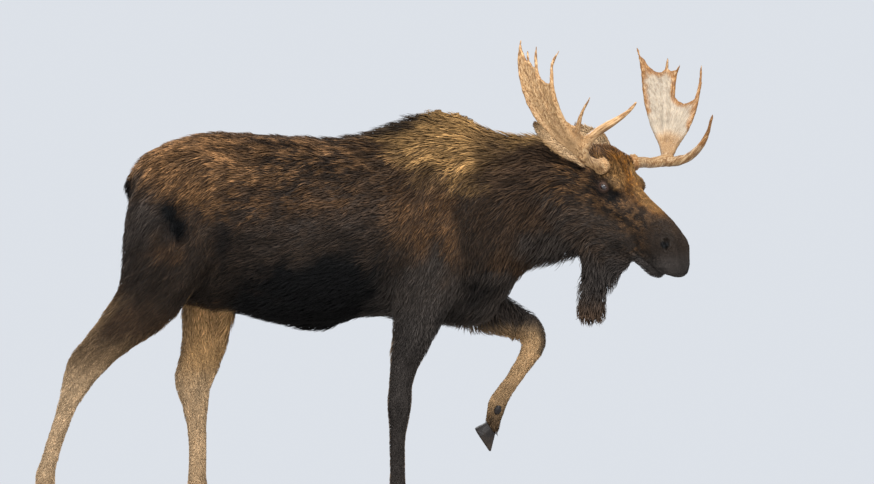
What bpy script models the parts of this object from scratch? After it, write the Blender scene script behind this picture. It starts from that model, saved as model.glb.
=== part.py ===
"""A life-size bull moose in mid-stride on a flat display base.

The body is modelled whole, from named cross-sections that are lofted, merged into one form and then
parted by thin cuts into the pieces a person would name.  Antlers, ears, eyes and hooves are made on
their own and seated in the body with a small gap.

Axes: +X is the way the body walks, -Y is its right side, +Z is up.  The origin is the centre of the
underside of the base.  The head is turned to the animal's right and carried low.
"""

import math

import bmesh
import bpy
from mathutils import Matrix, Vector

# Driving dimensions, in metres and degrees

GAP = 0.0003  # clearance between pieces that touch
CUT = 0.0004  # width of the cuts that part the body
WELD = 0.00002  # corners nearer than this are one

BASE_LENGTH = 2.70
BASE_WIDTH = 1.10
BASE_THICKNESS = 0.033
BASE_CORNER = 0.12
BASE_EDGE = 0.006
FLOOR = BASE_THICKNESS + GAP  # level of the soles

HEAD_YAW = -35.0  # turned to the right
HEAD_PITCH = 37.0  # nose down
HEAD_CENTRE = Vector((1.197, -0.175, 1.467))  # midway between the eyes

EYE_CLEARANCE = 0.0016  # of the eyeball in its socket
EYE_RADIUS = 0.0215
EYE_OUT = 0.099  # from the middle of the head to the eye's centre
EYE_ALONG = -0.008

SIDES = 20  # points round a cross-section
STEPS = 3  # rings added between two named sections

VOXEL = 0.0115  # grain of the merged body
BODY_SMOOTHING = 8
BODY_TRIANGLES = 4300
PIECE_KEEP = 0.615  # part of the triangles kept after the cuts
ANTLER_VOXEL = 0.0045
ANTLER_TRIANGLES = 860

EAR_LENGTH = 0.255
EAR_HALF_WIDTH = 0.052
EAR_WIDEST = 0.45  # where along its length
EAR_CURL_ROOT = 140.0  # half angle of the cup at the root and at the tip
EAR_CURL_TIP = 50.0
EAR_WALL = 0.007
EAR_ROOT_RADIUS = 0.026
EAR_SEAT_RADIUS = 0.034
EAR_TIP_RADIUS = 0.005
EAR_OPENING = 1.6  # powers of its outline before and after the widest place
EAR_CLOSING = 2.2
EAR_FLAT_FROM = 0.625  # where along its length the cup has opened out, and the power of the opening
EAR_FLATTENING = 0.8
EAR_BOW = 0.030  # how far it bends back
EAR_ROWS = 8
EAR_COLUMNS = 6
SEAT_GAP = 0.0020  # clearance under what is set into the head
BURR_CLEARANCE = 0.009
SEAT_DEPTH = 0.12  # length of the clearance around what is set into the head
CLAW_GAP = 0.004
CLAW_SIDES = 12
CLAW_TOP = 0.030  # length in front of the coronet's middle
CLAW_POINT = 0.42  # how far the toe narrows
CLAW_INNER = 0.98
DEWCLAW_SEGMENTS = 8
EYE_SEGMENTS = 12

# Cross-sections of the torso and neck, from the buttocks to the throat.
# x, y, top, bottom, half width, height of the widest level (0 bottom, 1 top), crest, keel, yaw.
# Crest and keel are the powers of the upper and lower curves: 2 is an ellipse, less is sharper.
TORSO = (
    (-0.838, 0.000, 1.490, 1.300, 0.060, 0.55, 2.0, 2.0, 0),
    (-0.805, 0.000, 1.572, 1.190, 0.128, 0.58, 2.0, 2.0, 0),
    (-0.740, 0.000, 1.632, 1.080, 0.185, 0.60, 2.0, 2.0, 0),
    (-0.640, 0.000, 1.676, 1.000, 0.226, 0.62, 1.9, 2.0, 0),
    (-0.500, 0.000, 1.708, 0.970, 0.250, 0.62, 1.8, 2.0, 0),
    (-0.370, 0.000, 1.704, 0.945, 0.258, 0.56, 1.8, 2.0, 0),
    (-0.200, 0.000, 1.694, 0.897, 0.280, 0.49, 1.9, 2.1, 0),
    (0.000, 0.000, 1.686, 0.890, 0.292, 0.46, 1.9, 2.1, 0),
    (0.140, 0.000, 1.702, 0.925, 0.286, 0.46, 1.8, 2.1, 0),
    (0.260, 0.000, 1.747, 0.925, 0.268, 0.45, 1.6, 2.0, 0),
    (0.380, 0.000, 1.794, 0.912, 0.246, 0.44, 1.45, 2.0, 0),
    (0.460, 0.000, 1.806, 0.903, 0.234, 0.43, 1.4, 2.0, 0),
    (0.560, 0.000, 1.785, 0.905, 0.218, 0.43, 1.4, 2.0, 0),
    (0.660, 0.000, 1.738, 0.945, 0.198, 0.45, 1.5, 1.9, 0),
    (0.750, -0.009, 1.710, 1.020, 0.176, 0.49, 1.7, 1.9, -5),
    (0.800, -0.016, 1.702, 1.098, 0.164, 0.49, 1.7, 1.9, -8),
    (0.870, -0.028, 1.696, 1.138, 0.150, 0.50, 1.8, 1.9, -13),
    (0.980, -0.060, 1.672, 1.168, 0.136, 0.52, 1.8, 1.9, -21),
    (1.070, -0.100, 1.642, 1.200, 0.124, 0.55, 1.9, 2.0, -29),
    (1.130, -0.132, 1.590, 1.260, 0.105, 0.55, 2.0, 2.0, -34),
)

# Cross-sections of the head along its own length, from the back of the skull to the lip.
# along, above the eye line, below it, half width, height of the widest level, crest, keel.
SKULL = (
    (-0.190, 0.070, 0.090, 0.066, 0.50, 2.0, 2.0),
    (-0.150, 0.115, 0.140, 0.088, 0.55, 2.0, 2.0),
    (-0.085, 0.128, 0.185, 0.104, 0.60, 2.2, 1.9),
    (-0.015, 0.092, 0.200, 0.108, 0.66, 2.2, 1.8),
    (0.060, 0.068, 0.192, 0.088, 0.64, 2.0, 1.8),
    (0.140, 0.060, 0.172, 0.070, 0.60, 2.0, 1.9),
    (0.220, 0.058, 0.150, 0.062, 0.55, 2.0, 2.0),
    (0.300, 0.053, 0.132, 0.066, 0.50, 2.1, 2.1),
    (0.360, 0.036, 0.128, 0.072, 0.46, 2.2, 2.2),
    (0.410, 0.004, 0.130, 0.070, 0.44, 2.2, 2.3),
    (0.450, -0.036, 0.127, 0.057, 0.42, 2.2, 2.3),
    (0.474, -0.070, 0.112, 0.034, 0.45, 2.0, 2.0),
)

# Lower jaw, in the same frame: along, upper level, lower level, half width.
JAW = (
    (-0.060, -0.080, -0.195, 0.080),
    (0.020, -0.090, -0.215, 0.072),
    (0.110, -0.110, -0.212, 0.058),
    (0.200, -0.125, -0.198, 0.046),
    (0.290, -0.132, -0.190, 0.042),
    (0.350, -0.136, -0.190, 0.042),
    (0.392, -0.142, -0.184, 0.034),
)

# The bell of skin under the throat: x, y, z, half length fore and aft, half thickness.
BELL = (
    (1.120, -0.150, 1.270, 0.110, 0.050),
    (1.140, -0.152, 1.190, 0.128, 0.046),
    (1.138, -0.152, 1.135, 0.126, 0.042),
    (1.116, -0.147, 1.092, 0.098, 0.038),
    (1.092, -0.142, 1.052, 0.073, 0.035),
    (1.085, -0.140, 1.005, 0.068, 0.033),
    (1.084, -0.140, 0.955, 0.076, 0.033),
    (1.082, -0.140, 0.912, 0.054, 0.024),
)

# Legs, from the top down: x, y, z, half depth fore and aft, half width.
FORE_RIGHT = (
    (0.470, -0.110, 1.480, 0.150, 0.070),
    (0.465, -0.150, 1.330, 0.170, 0.085),
    (0.430, -0.165, 1.170, 0.160, 0.090),
    (0.395, -0.170, 1.030, 0.132, 0.083),
    (0.362, -0.165, 0.915, 0.106, 0.070),
    (0.334, -0.160, 0.820, 0.083, 0.058),
    (0.310, -0.155, 0.735, 0.063, 0.050),
    (0.296, -0.150, 0.650, 0.052, 0.046),
    (0.290, -0.150, 0.560, 0.054, 0.050),
    (0.286, -0.150, 0.485, 0.042, 0.039),
    (0.282, -0.150, 0.380, 0.035, 0.033),
    (0.282, -0.150, 0.265, 0.035, 0.034),
    (0.286, -0.150, 0.200, 0.044, 0.042),
    (0.306, -0.150, 0.135, 0.038, 0.042),
    (0.325, -0.150, 0.085, 0.040, 0.044),
)
FORE_LEFT = (
    (0.500, 0.110, 1.480, 0.150, 0.070),
    (0.515, 0.150, 1.330, 0.170, 0.085),
    (0.520, 0.165, 1.170, 0.160, 0.090),
    (0.548, 0.168, 1.055, 0.138, 0.083),
    (0.618, 0.166, 0.988, 0.116, 0.074),
    (0.684, 0.163, 0.953, 0.102, 0.066),
    (0.742, 0.159, 0.926, 0.088, 0.058),
    (0.795, 0.155, 0.903, 0.070, 0.052),
    (0.843, 0.152, 0.868, 0.058, 0.050),
    (0.852, 0.150, 0.810, 0.052, 0.046),
    (0.816, 0.148, 0.745, 0.041, 0.037),
    (0.767, 0.146, 0.668, 0.036, 0.033),
    (0.722, 0.145, 0.606, 0.037, 0.035),
    (0.700, 0.145, 0.566, 0.043, 0.042),
    (0.686, 0.145, 0.510, 0.036, 0.041),
    (0.674, 0.145, 0.450, 0.037, 0.043),
)
HIND_RIGHT = (
    (-0.600, -0.110, 1.520, 0.160, 0.080),
    (-0.625, -0.140, 1.400, 0.205, 0.105),
    (-0.655, -0.155, 1.260, 0.206, 0.108),
    (-0.690, -0.160, 1.130, 0.180, 0.098),
    (-0.755, -0.160, 1.000, 0.138, 0.080),
    (-0.848, -0.158, 0.902, 0.108, 0.064),
    (-0.938, -0.155, 0.811, 0.084, 0.050),
    (-1.013, -0.152, 0.727, 0.080, 0.047),
    (-1.052, -0.150, 0.648, 0.061, 0.041),
    (-1.088, -0.150, 0.560, 0.043, 0.034),
    (-1.130, -0.150, 0.440, 0.037, 0.032),
    (-1.165, -0.150, 0.325, 0.038, 0.034),
    (-1.180, -0.150, 0.262, 0.045, 0.042),
    (-1.176, -0.150, 0.190, 0.038, 0.041),
    (-1.166, -0.150, 0.118, 0.038, 0.043),
)
HIND_LEFT = (
    (-0.600, 0.110, 1.520, 0.160, 0.080),
    (-0.590, 0.140, 1.400, 0.205, 0.105),
    (-0.550, 0.155, 1.260, 0.206, 0.108),
    (-0.510, 0.160, 1.130, 0.175, 0.098),
    (-0.505, 0.160, 0.990, 0.130, 0.080),
    (-0.520, 0.157, 0.870, 0.108, 0.062),
    (-0.545, 0.154, 0.755, 0.092, 0.050),
    (-0.574, 0.152, 0.665, 0.086, 0.048),
    (-0.568, 0.150, 0.580, 0.064, 0.041),
    (-0.560, 0.150, 0.470, 0.046, 0.035),
    (-0.556, 0.150, 0.330, 0.040, 0.034),
    (-0.560, 0.150, 0.240, 0.044, 0.041),
    (-0.548, 0.150, 0.190, 0.044, 0.043),
    (-0.525, 0.150, 0.135, 0.039, 0.042),
    (-0.508, 0.150, 0.085, 0.041, 0.044),
)

# Rounded masses that stand out of the lofts: centre, half sizes, lean about Y in degrees.
MASSES = (
    ((-0.828, 0.000, 1.508), (0.020, 0.034, 0.064), 27),  # tail
    ((-0.500, -0.130, 1.560), (0.150, 0.075, 0.070), 8),  # right hip
    ((-0.500, 0.130, 1.560), (0.150, 0.075, 0.070), 8),  # left hip
    ((-0.585, -0.185, 1.190), (0.100, 0.060, 0.130), 25),  # right stifle
    ((-0.440, 0.185, 1.170), (0.100, 0.060, 0.130), 0),  # left stifle
    ((0.440, -0.145, 1.420), (0.110, 0.075, 0.190), -18),  # right shoulder blade
    ((0.460, 0.145, 1.420), (0.110, 0.075, 0.190), -18),  # left shoulder blade
    ((0.590, -0.110, 1.190), (0.100, 0.070, 0.120), 0),  # right point of the shoulder
    ((0.600, 0.110, 1.190), (0.100, 0.070, 0.120), 0),  # left point of the shoulder
    ((-0.050, 0.000, 0.905), (0.100, 0.045, 0.040), 0),  # sheath
    ((0.590, 0.000, 1.000), (0.130, 0.110, 0.100), 0),  # brisket
)

# Rounded masses of the head, in its own frame; each is made on both sides.
HEAD_MASSES = (
    ((0.010, 0.088, 0.040), (0.062, 0.036, 0.030)),  # brow over the eye
    ((0.040, 0.072, -0.050), (0.090, 0.034, 0.040)),  # cheek bone
    ((-0.060, 0.066, -0.110), (0.095, 0.040, 0.085)),  # jaw muscle
    ((-0.070, 0.070, 0.074), (0.050, 0.050, 0.044)),  # antler pedicle
    ((0.366, 0.046, -0.030), (0.055, 0.032, 0.044)),  # rim of the nostril
    ((0.400, 0.038, -0.096), (0.064, 0.038, 0.038)),  # overhanging lip
)

# Antlers.  A point is (x, outward from the middle plane of the head, height).
BEAM_RIGHT = ((1.128, 0.110, 1.556), (1.094, 0.172, 1.566), (1.062, 0.240, 1.580), (1.040, 0.310, 1.606))
BEAM_LEFT = ((1.260, 0.104, 1.570), (1.298, 0.170, 1.574), (1.346, 0.250, 1.572), (1.402, 0.312, 1.584))
BEAM_RADII = (0.026, 0.022, 0.021, 0.026)
BURR_RADIUS = 0.035

# Ribs of the palm, from its root to the tip of each tine, from the rear to the front.
RIBS_RIGHT = (
    ((1.040, 0.310, 1.604), (0.968, 0.370, 1.652), (0.898, 0.415, 1.712), (0.847, 0.440, 1.772),
     (0.812, 0.450, 1.844), (0.790, 0.450, 1.925), (0.783, 0.445, 2.003), (0.792, 0.437, 2.079)),
    ((1.040, 0.310, 1.604), (0.930, 0.415, 1.715), (0.864, 0.457, 1.830), (0.829, 0.468, 1.940),
     (0.8155, 0.465, 2.029)),
    ((1.040, 0.310, 1.604), (0.957, 0.405, 1.692), (0.896, 0.460, 1.800), (0.862, 0.487, 1.900),
     (0.851, 0.493, 1.970), (0.8525, 0.490, 2.047)),
    ((1.040, 0.310, 1.606), (0.996, 0.390, 1.672), (0.951, 0.455, 1.755), (0.922, 0.495, 1.840),
     (0.914, 0.512, 1.905), (0.918, 0.508, 1.975), (0.9485, 0.490, 2.030)),
    ((1.045, 0.305, 1.606), (1.024, 0.350, 1.660), (1.024, 0.385, 1.708), (1.036, 0.410, 1.765),
     (1.074, 0.430, 1.839)),
    ((1.045, 0.300, 1.606), (1.066, 0.320, 1.660), (1.112, 0.325, 1.700), (1.173, 0.315, 1.737),
     (1.228, 0.300, 1.776), (1.2645, 0.287, 1.8176)),
)
RIBS_LEFT = (
    ((1.402, 0.312, 1.584), (1.390, 0.360, 1.650), (1.358, 0.408, 1.724), (1.334, 0.435, 1.800),
     (1.320, 0.445, 1.870), (1.312, 0.447, 1.954), (1.302, 0.442, 2.010), (1.285, 0.435, 2.064)),
    ((1.404, 0.312, 1.584), (1.405, 0.370, 1.660), (1.400, 0.435, 1.760), (1.404, 0.478, 1.870),
     (1.411, 0.492, 1.955), (1.4155, 0.490, 2.018)),
    ((1.406, 0.312, 1.584), (1.416, 0.370, 1.660), (1.428, 0.438, 1.760), (1.438, 0.485, 1.870),
     (1.448, 0.500, 1.942), (1.469, 0.495, 1.989)),
    ((1.410, 0.312, 1.584), (1.437, 0.360, 1.640), (1.488, 0.425, 1.715), (1.522, 0.480, 1.790),
     (1.543, 0.520, 1.870), (1.553, 0.535, 1.930), (1.555, 0.535, 1.987)),
    ((1.402, 0.312, 1.580), (1.440, 0.322, 1.578), (1.492, 0.325, 1.594), (1.536, 0.320, 1.632),
     (1.569, 0.308, 1.690), (1.5915, 0.290, 1.7735)),
)
# Thickness of each rib at its root, at the margin of the palm and at its tip (radius).
RIB_RADII = (0.017, 0.0105, 0.0040)
BROW_RADII = (0.024, 0.0165, 0.0045)
# Webs between neighbouring ribs: how far up each rib the palm reaches, and the depth of the notch.
WEBS_RIGHT = (
    (0.96, 0.87, 0.00), (0.92, 0.82, 0.02), (0.76, 0.72, 0.03), (0.44, 0.44, 0.02), (0.38, 0.26, 0.03),
)
WEBS_LEFT = ((0.95, 0.90, 0.08), (0.91, 0.93, 0.02), (0.70, 0.70, 0.07), (0.12, 0.12, 0.02))
WEB_START = 0.04  # part of each rib below the web
WEB_ROWS = 10
WEB_COLUMNS = 6
PALM_THICKNESS = 0.0115
# Rings of the burr: distance out from the root of the beam, and size.
BURR_RINGS = ((-0.004, 0.9), (0.004, 1.0), (0.014, 0.82))
BEAM_SIDES = 14
ANTLER_SMOOTHING = 3

# Ears, in the heading frame of the head: root (forward, outward, height), direction, way the cup faces.
EARS = {
    "ear_right": ((-0.106, -0.103, 1.586), (-0.134, -0.190, 0.152), (0.55, -0.65, -0.20)),
    "ear_left": ((-0.106, 0.092, 1.600), (-0.205, 0.025, 0.142), (-0.20, -0.80, 0.45)),
}

# Feet: middle of the coronet, pitch of the hoof (toe down), length of the toe.
FEET = {
    "fore_right": ((0.326, -0.150, 0.094), 0, 0.084),
    "fore_left": ((0.674, 0.145, 0.460), 56, 0.080),
    "hind_right": ((-1.164, -0.150, 0.127), 38, 0.082),
    "hind_left": ((-0.506, 0.150, 0.094), 0, 0.082),
}
HOOF_ROOM = Vector((0.24, 0.16, 0.12))  # cleared under a pastern for its claws
HOOF_HEIGHT = 0.060
DEWCLAW = (0.013, 0.011, 0.021)
DEWCLAW_PLACE = (-0.052, 0.030, 0.066)  # behind, beside and above the coronet

# Thin cuts that part the body: a point on the plane, the way it faces and the radius of the disc.
CUTS = (
    ((-0.818, 0.000, 1.512), (-0.95, 0.00, 0.31), 0.100),  # tail from the rump
    ((-0.360, 0.000, 1.330), (1.00, 0.00, 0.00), 0.560),  # hindquarters from the trunk
    ((0.180, 0.000, 1.330), (1.00, 0.00, 0.00), 0.560),  # trunk from the forequarters
    ((0.735, -0.010, 1.400), (0.98, -0.06, 0.21), 0.360),  # forequarters from the neck
    ((1.130, -0.150, 1.150), (0.15, 0.00, 1.00), 0.190),  # bell from the throat
    ((1.075, -0.105, 1.430), (0.80, -0.56, -0.05), 0.275),  # neck from the head
    ((0.365, -0.165, 0.925), (0.00, 0.50, 1.00), 0.170),  # forelegs from the forequarters
    ((0.705, 0.162, 0.943), (0.90, 0.00, -0.43), 0.130),
    ((-0.735, -0.160, 1.022), (0.50, 0.80, 1.00), 0.220),  # hind legs from the hindquarters
    ((-0.520, 0.160, 1.010), (0.50, -0.80, 1.00), 0.220),
    ((0.292, -0.150, 0.610), (0.00, 0.00, 1.00), 0.100),  # forearms from the cannons
    ((0.853, 0.151, 0.840), (0.25, 0.00, -1.00), 0.075),
    ((-1.036, -0.151, 0.680), (0.40, 0.00, 0.92), 0.120),  # gaskins from the hind cannons
    ((-0.572, 0.151, 0.615), (0.00, 0.00, 1.00), 0.120),
    ((0.284, -0.150, 0.232), (0.00, 0.00, 1.00), 0.070),  # cannons from the pasterns
    ((0.712, 0.145, 0.590), (0.50, 0.00, 0.80), 0.070),
    ((-1.173, -0.150, 0.308), (0.25, 0.00, 0.95), 0.070),
    ((-0.558, 0.150, 0.270), (0.00, 0.00, 1.00), 0.070),
)
# The same for the head, in its own frame.
HEAD_CUTS = (
    ((0.335, 0.000, -0.1435), (-0.065, 0.000, 1.000), 0.115),  # mouth
    ((0.262, 0.000, -0.185), (1.000, 0.000, 0.100), 0.065),  # root of the lower jaw
    ((0.285, 0.000, -0.030), (1.000, 0.000, 0.000), 0.124),  # muzzle from the head
)
# The same for the antlers: a point (x, outward, height), the way it faces and the radius.
ANTLER_CUTS = {
    "antler_right": (
        ((1.005, 0.345, 1.640), (-0.62, -0.25, 0.74), 0.085),  # palm
        ((1.084, 0.322, 1.682), (0.75, 0.05, 0.65), 0.046),  # brow tine
    ),
    "antler_left": (
        ((1.410, 0.345, 1.628), (0.00, 0.25, 0.97), 0.070),
        ((1.446, 0.322, 1.579), (0.98, -0.15, 0.10), 0.040),
    ),
}

SIDE_LABELS = ((-1, "right"), (1, "left"))

# A place inside each piece of the parted body, by which it gets its name and material.
PLACES = {
    "tail": ((-0.828, 0.000, 1.508), "coat_black"),
    "hindquarters": ((-0.600, 0.000, 1.350), "coat_brown"),
    "trunk": ((-0.090, 0.000, 1.300), "coat_dark"),
    "forequarters": ((0.450, 0.000, 1.330), "coat_brown"),
    "neck": ((0.920, -0.050, 1.410), "coat_brown"),
    "head": ((1.210, -0.180, 1.430), "coat_brown"),
    "muzzle": ((1.400, -0.330, 1.200), "coat_dark"),
    "lower_jaw": ((1.300, -0.270, 1.120), "coat_black"),
    "bell": ((1.090, -0.140, 1.020), "coat_dark"),
    "fore_right_forearm": ((0.330, -0.160, 0.770), "coat_black"),
    "fore_right_cannon": ((0.284, -0.150, 0.420), "coat_black"),
    "fore_right_pastern": ((0.300, -0.150, 0.160), "coat_black"),
    "fore_left_forearm": ((0.780, 0.157, 0.905), "coat_tan"),
    "fore_left_cannon": ((0.790, 0.147, 0.700), "coat_tan"),
    "fore_left_pastern": ((0.688, 0.145, 0.520), "coat_dark"),
    "hind_right_gaskin": ((-0.890, -0.157, 0.850), "coat_dark"),
    "hind_right_cannon": ((-1.110, -0.150, 0.500), "coat_tan"),
    "hind_right_pastern": ((-1.176, -0.150, 0.230), "coat_dark"),
    "hind_left_gaskin": ((-0.530, 0.156, 0.810), "coat_tan"),
    "hind_left_cannon": ((-0.558, 0.150, 0.430), "coat_tan"),
    "hind_left_pastern": ((-0.535, 0.150, 0.180), "coat_dark"),
}
ANTLER_PLACES = {
    "antler_right": {
        "beam": (1.080, 0.210, 1.600),
        "palm": (0.880, 0.460, 1.820),
        "brow_tine": (1.190, 0.310, 1.750),
    },
    "antler_left": {
        "beam": (1.340, 0.220, 1.580),
        "palm": (1.420, 0.460, 1.820),
        "brow_tine": (1.550, 0.310, 1.650),
    },
}

# Colours and roughness of the materials.
FINISHES = {
    "coat_dark": ((0.045, 0.030, 0.022), 0.85),
    "coat_brown": ((0.110, 0.066, 0.038), 0.85),
    "coat_tan": ((0.300, 0.200, 0.115), 0.85),
    "coat_black": ((0.018, 0.014, 0.012), 0.85),
    "ear_fur": ((0.210, 0.160, 0.110), 0.85),
    "antler": ((0.480, 0.320, 0.170), 0.55),
    "hoof": ((0.030, 0.026, 0.022), 0.50),
    "eye": ((0.020, 0.012, 0.008), 0.08),
    "base": ((0.300, 0.290, 0.270), 0.60),
}
# Material of the pieces that are not cut from the body, by a word in their names.
SLOTS = (("antler", "antler"), ("ear", "ear_fur"), ("claw", "hoof"), ("eye", "eye"), ("stand", "base"))


def smooth_rows(rows, steps):
    """Catmull-Rom rows between the named rows, so that a loft has no corners at them."""
    result = []
    last = len(rows) - 1
    for i in range(last):
        before = rows[max(i - 1, 0)]
        after = rows[min(i + 2, last)]
        for k in range(steps):
            t = k / steps
            row = []
            for p0, p1, p2, p3 in zip(before, rows[i], rows[i + 1], after):
                a = 2 * p1 + (p2 - p0) * t
                b = (2 * p0 - 5 * p1 + 4 * p2 - p3) * t * t
                c = (3 * p1 - p0 - 3 * p2 + p3) * t ** 3
                row.append((a + b + c) / 2)
            result.append(tuple(row))
    result.append(tuple(float(v) for v in rows[last]))
    return result


def clear_scene():
    for old in list(bpy.data.objects):
        bpy.data.objects.remove(old, do_unlink=True)


def new_collection(name):
    made = bpy.data.collections.new(name)
    bpy.context.scene.collection.children.link(made)
    return made


def add_mesh_object(name, bm, collection):
    mesh = bpy.data.meshes.new(name)
    bmesh.ops.recalc_face_normals(bm, faces=bm.faces)
    bm.to_mesh(mesh)
    bm.free()
    made = bpy.data.objects.new(name, mesh)
    collection.objects.link(made)
    return made


def material(name, colour, roughness, metallic=0.0):
    made = bpy.data.materials.new(name)
    made.use_nodes = True
    shader = made.node_tree.nodes["Principled BSDF"]
    shader.inputs["Base Color"].default_value = (*colour, 1.0)
    shader.inputs["Roughness"].default_value = roughness
    shader.inputs["Metallic"].default_value = metallic
    made.diffuse_color = (*colour, 1.0)
    return made


def power(value, exponent):
    """Signed power, for superellipses."""
    return math.copysign(abs(value) ** exponent, value)


def ring(centre, across, up, half_width, rise, drop, crest=2.0, keel=2.0, sides=SIDES):
    """Points of a cross-section whose upper and lower halves are different superellipses."""
    points = []
    for i in range(sides):
        angle = 2 * math.pi * i / sides
        exponent = crest if math.sin(angle) >= 0 else keel
        height = rise if math.sin(angle) >= 0 else drop
        side = half_width * power(math.cos(angle), 2 / exponent)
        level = height * power(math.sin(angle), 2 / exponent)
        points.append(centre + across * side + up * level)
    return points


def loft(bm, rings):
    """A closed skin over rings of equal count, with a fan on each end."""
    loops = [[bm.verts.new(p) for p in points] for points in rings]
    count = len(loops[0])
    for lower, upper in zip(loops, loops[1:]):
        for i in range(count):
            j = (i + 1) % count
            bm.faces.new((lower[i], lower[j], upper[j], upper[i]))
    for loop, points in ((loops[0], rings[0]), (loops[-1], rings[-1])):
        middle = bm.verts.new(sum(points, Vector()) / count)
        for i in range(count):
            bm.faces.new((loop[i], loop[(i + 1) % count], middle))


def add_torso(bm):
    rings = []
    for x, y, top, bottom, width, widest, crest, keel, yaw in smooth_rows(TORSO, STEPS):
        level = bottom + (top - bottom) * widest
        turn = math.radians(yaw)
        across = Vector((-math.sin(turn), math.cos(turn), 0))
        centre = Vector((x, y, level))
        rings.append(ring(centre, across, Vector((0, 0, 1)), width, top - level, level - bottom, crest, keel))
    loft(bm, rings)


def head_matrix():
    """From the head's own frame (along, left, up) to the world."""
    turn = Matrix.Rotation(math.radians(HEAD_YAW), 4, "Z") @ Matrix.Rotation(math.radians(HEAD_PITCH), 4, "Y")
    return Matrix.Translation(HEAD_CENTRE) @ turn


def add_head(bm):
    frame = head_matrix()
    across = frame.to_3x3() @ Vector((0, 1, 0))
    up = frame.to_3x3() @ Vector((0, 0, 1))
    rings = []
    for along, top, bottom, width, widest, crest, keel in smooth_rows(SKULL, STEPS):
        level = -bottom + (top + bottom) * widest
        centre = frame @ Vector((along, 0, level))
        rings.append(ring(centre, across, up, width, top - level, level + bottom, crest, keel))
    loft(bm, rings)
    rings = []
    for along, top, bottom, width in smooth_rows(JAW, STEPS):
        centre = frame @ Vector((along, 0, (top + bottom) / 2))
        rings.append(ring(centre, across, up, width, (top - bottom) / 2, (top - bottom) / 2))
    loft(bm, rings)


def add_bell(bm):
    across = Vector((math.cos(math.radians(HEAD_YAW + 10)), math.sin(math.radians(HEAD_YAW + 10)), 0))
    beside = Vector((-across.y, across.x, 0))
    rings = []
    for x, y, z, length, thickness in smooth_rows(BELL, STEPS):
        rings.append(ring(Vector((x, y, z)), across, beside, length, thickness, thickness))
    loft(bm, rings)


def add_limb(bm, stations):
    """A leg: each ring stands square to the path through the stations."""
    rows = smooth_rows(stations, STEPS)
    centres = [Vector(row[:3]) for row in rows]
    rings = []
    for i, row in enumerate(rows):
        path = (centres[min(i + 1, len(rows) - 1)] - centres[max(i - 1, 0)]).normalized()
        ahead = Vector((0, 1, 0)).cross(path).normalized()
        beside = path.cross(ahead)
        rings.append(ring(centres[i], ahead, beside, row[3], row[4], row[4]))
    loft(bm, rings)


def add_mass(bm, centre, sizes, frame):
    matrix = Matrix.Translation(centre) @ frame @ Matrix.Diagonal((*sizes, 1.0))
    bmesh.ops.create_uvsphere(bm, u_segments=24, v_segments=12, radius=1.0, matrix=matrix)


def apply_modifiers(target):
    """Swap the object's mesh for the evaluated one and drop its modifiers."""
    depsgraph = bpy.context.evaluated_depsgraph_get()
    mesh = bpy.data.meshes.new_from_object(target.evaluated_get(depsgraph))
    target.modifiers.clear()
    target.data = mesh


def clean_up(target):
    """Make every face a triangle and close up those with no area."""
    bm = bmesh.new()
    bm.from_mesh(target.data)
    bmesh.ops.triangulate(bm, faces=bm.faces)
    bmesh.ops.dissolve_degenerate(bm, dist=WELD, edges=bm.edges)
    bmesh.ops.remove_doubles(bm, verts=bm.verts, dist=WELD)
    bm.to_mesh(target.data)
    bm.free()


def thin_out(target, ratio):
    """Collapse edges where the form is plainest, keeping the given part of the triangles."""
    thin = target.modifiers.new("thin", "DECIMATE")
    thin.ratio = ratio
    apply_modifiers(target)
    clean_up(target)


def merge_form(target, voxel, smoothing, triangles):
    """Merge overlapping closed shapes into one organic form with about the given triangles."""
    remesh = target.modifiers.new("merge", "REMESH")
    remesh.mode = "VOXEL"
    remesh.voxel_size = voxel
    smooth = target.modifiers.new("smooth", "SMOOTH")
    smooth.factor = 0.5
    smooth.iterations = smoothing
    apply_modifiers(target)
    faces = sum(len(p.vertices) - 2 for p in target.data.polygons)
    thin_out(target, triangles / faces)


def make_body(collection):
    """The whole flesh of the animal in one form."""
    bm = bmesh.new()
    add_torso(bm)
    add_head(bm)
    add_bell(bm)
    for stations in (FORE_RIGHT, FORE_LEFT, HIND_RIGHT, HIND_LEFT):
        add_limb(bm, stations)
    for centre, sizes, lean in MASSES:
        add_mass(bm, Vector(centre), sizes, Matrix.Rotation(math.radians(lean), 4, "Y"))
    frame = head_matrix()
    turn = frame.to_3x3().to_4x4()
    for centre, sizes in HEAD_MASSES:
        for side in (-1, 1):
            place = Vector((centre[0], side * centre[1], centre[2]))
            add_mass(bm, frame @ place, sizes, turn)
    body = add_mesh_object("body", bm, collection)
    merge_form(body, VOXEL, BODY_SMOOTHING, BODY_TRIANGLES)
    return body


def side_sign(name):
    """-1 for the animal's right, which is -Y, and 1 for its left."""
    return -1 if "right" in name else 1


def antler_point(point, sign):
    """World place of (x, outward from the middle plane of the head, height)."""
    x, outward, height = point
    turn = math.radians(HEAD_YAW)
    left = Vector((-math.sin(turn), math.cos(turn))) * sign * outward
    forward = (x - HEAD_CENTRE.x - left.x) / math.cos(turn)
    return Vector((x, HEAD_CENTRE.y + forward * math.sin(turn) + left.y, height))


def heading_point(point):
    """World place of (forward, left, height) in the heading frame of the head."""
    forward, left, height = point
    turn = Matrix.Rotation(math.radians(HEAD_YAW), 3, "Z")
    place = turn @ Vector((forward, left, 0))
    return Vector((HEAD_CENTRE.x + place.x, HEAD_CENTRE.y + place.y, height))


def along_path(points, fraction):
    """Point at a fraction of the length of a path."""
    lengths = [(b - a).length for a, b in zip(points, points[1:])]
    rest = fraction * sum(lengths)
    for start, end, length in zip(points, points[1:], lengths):
        if rest <= length:
            return start.lerp(end, rest / length)
        rest -= length
    return points[-1]


def smooth_path(points):
    return [Vector(row) for row in smooth_rows(points, 4)]


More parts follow.
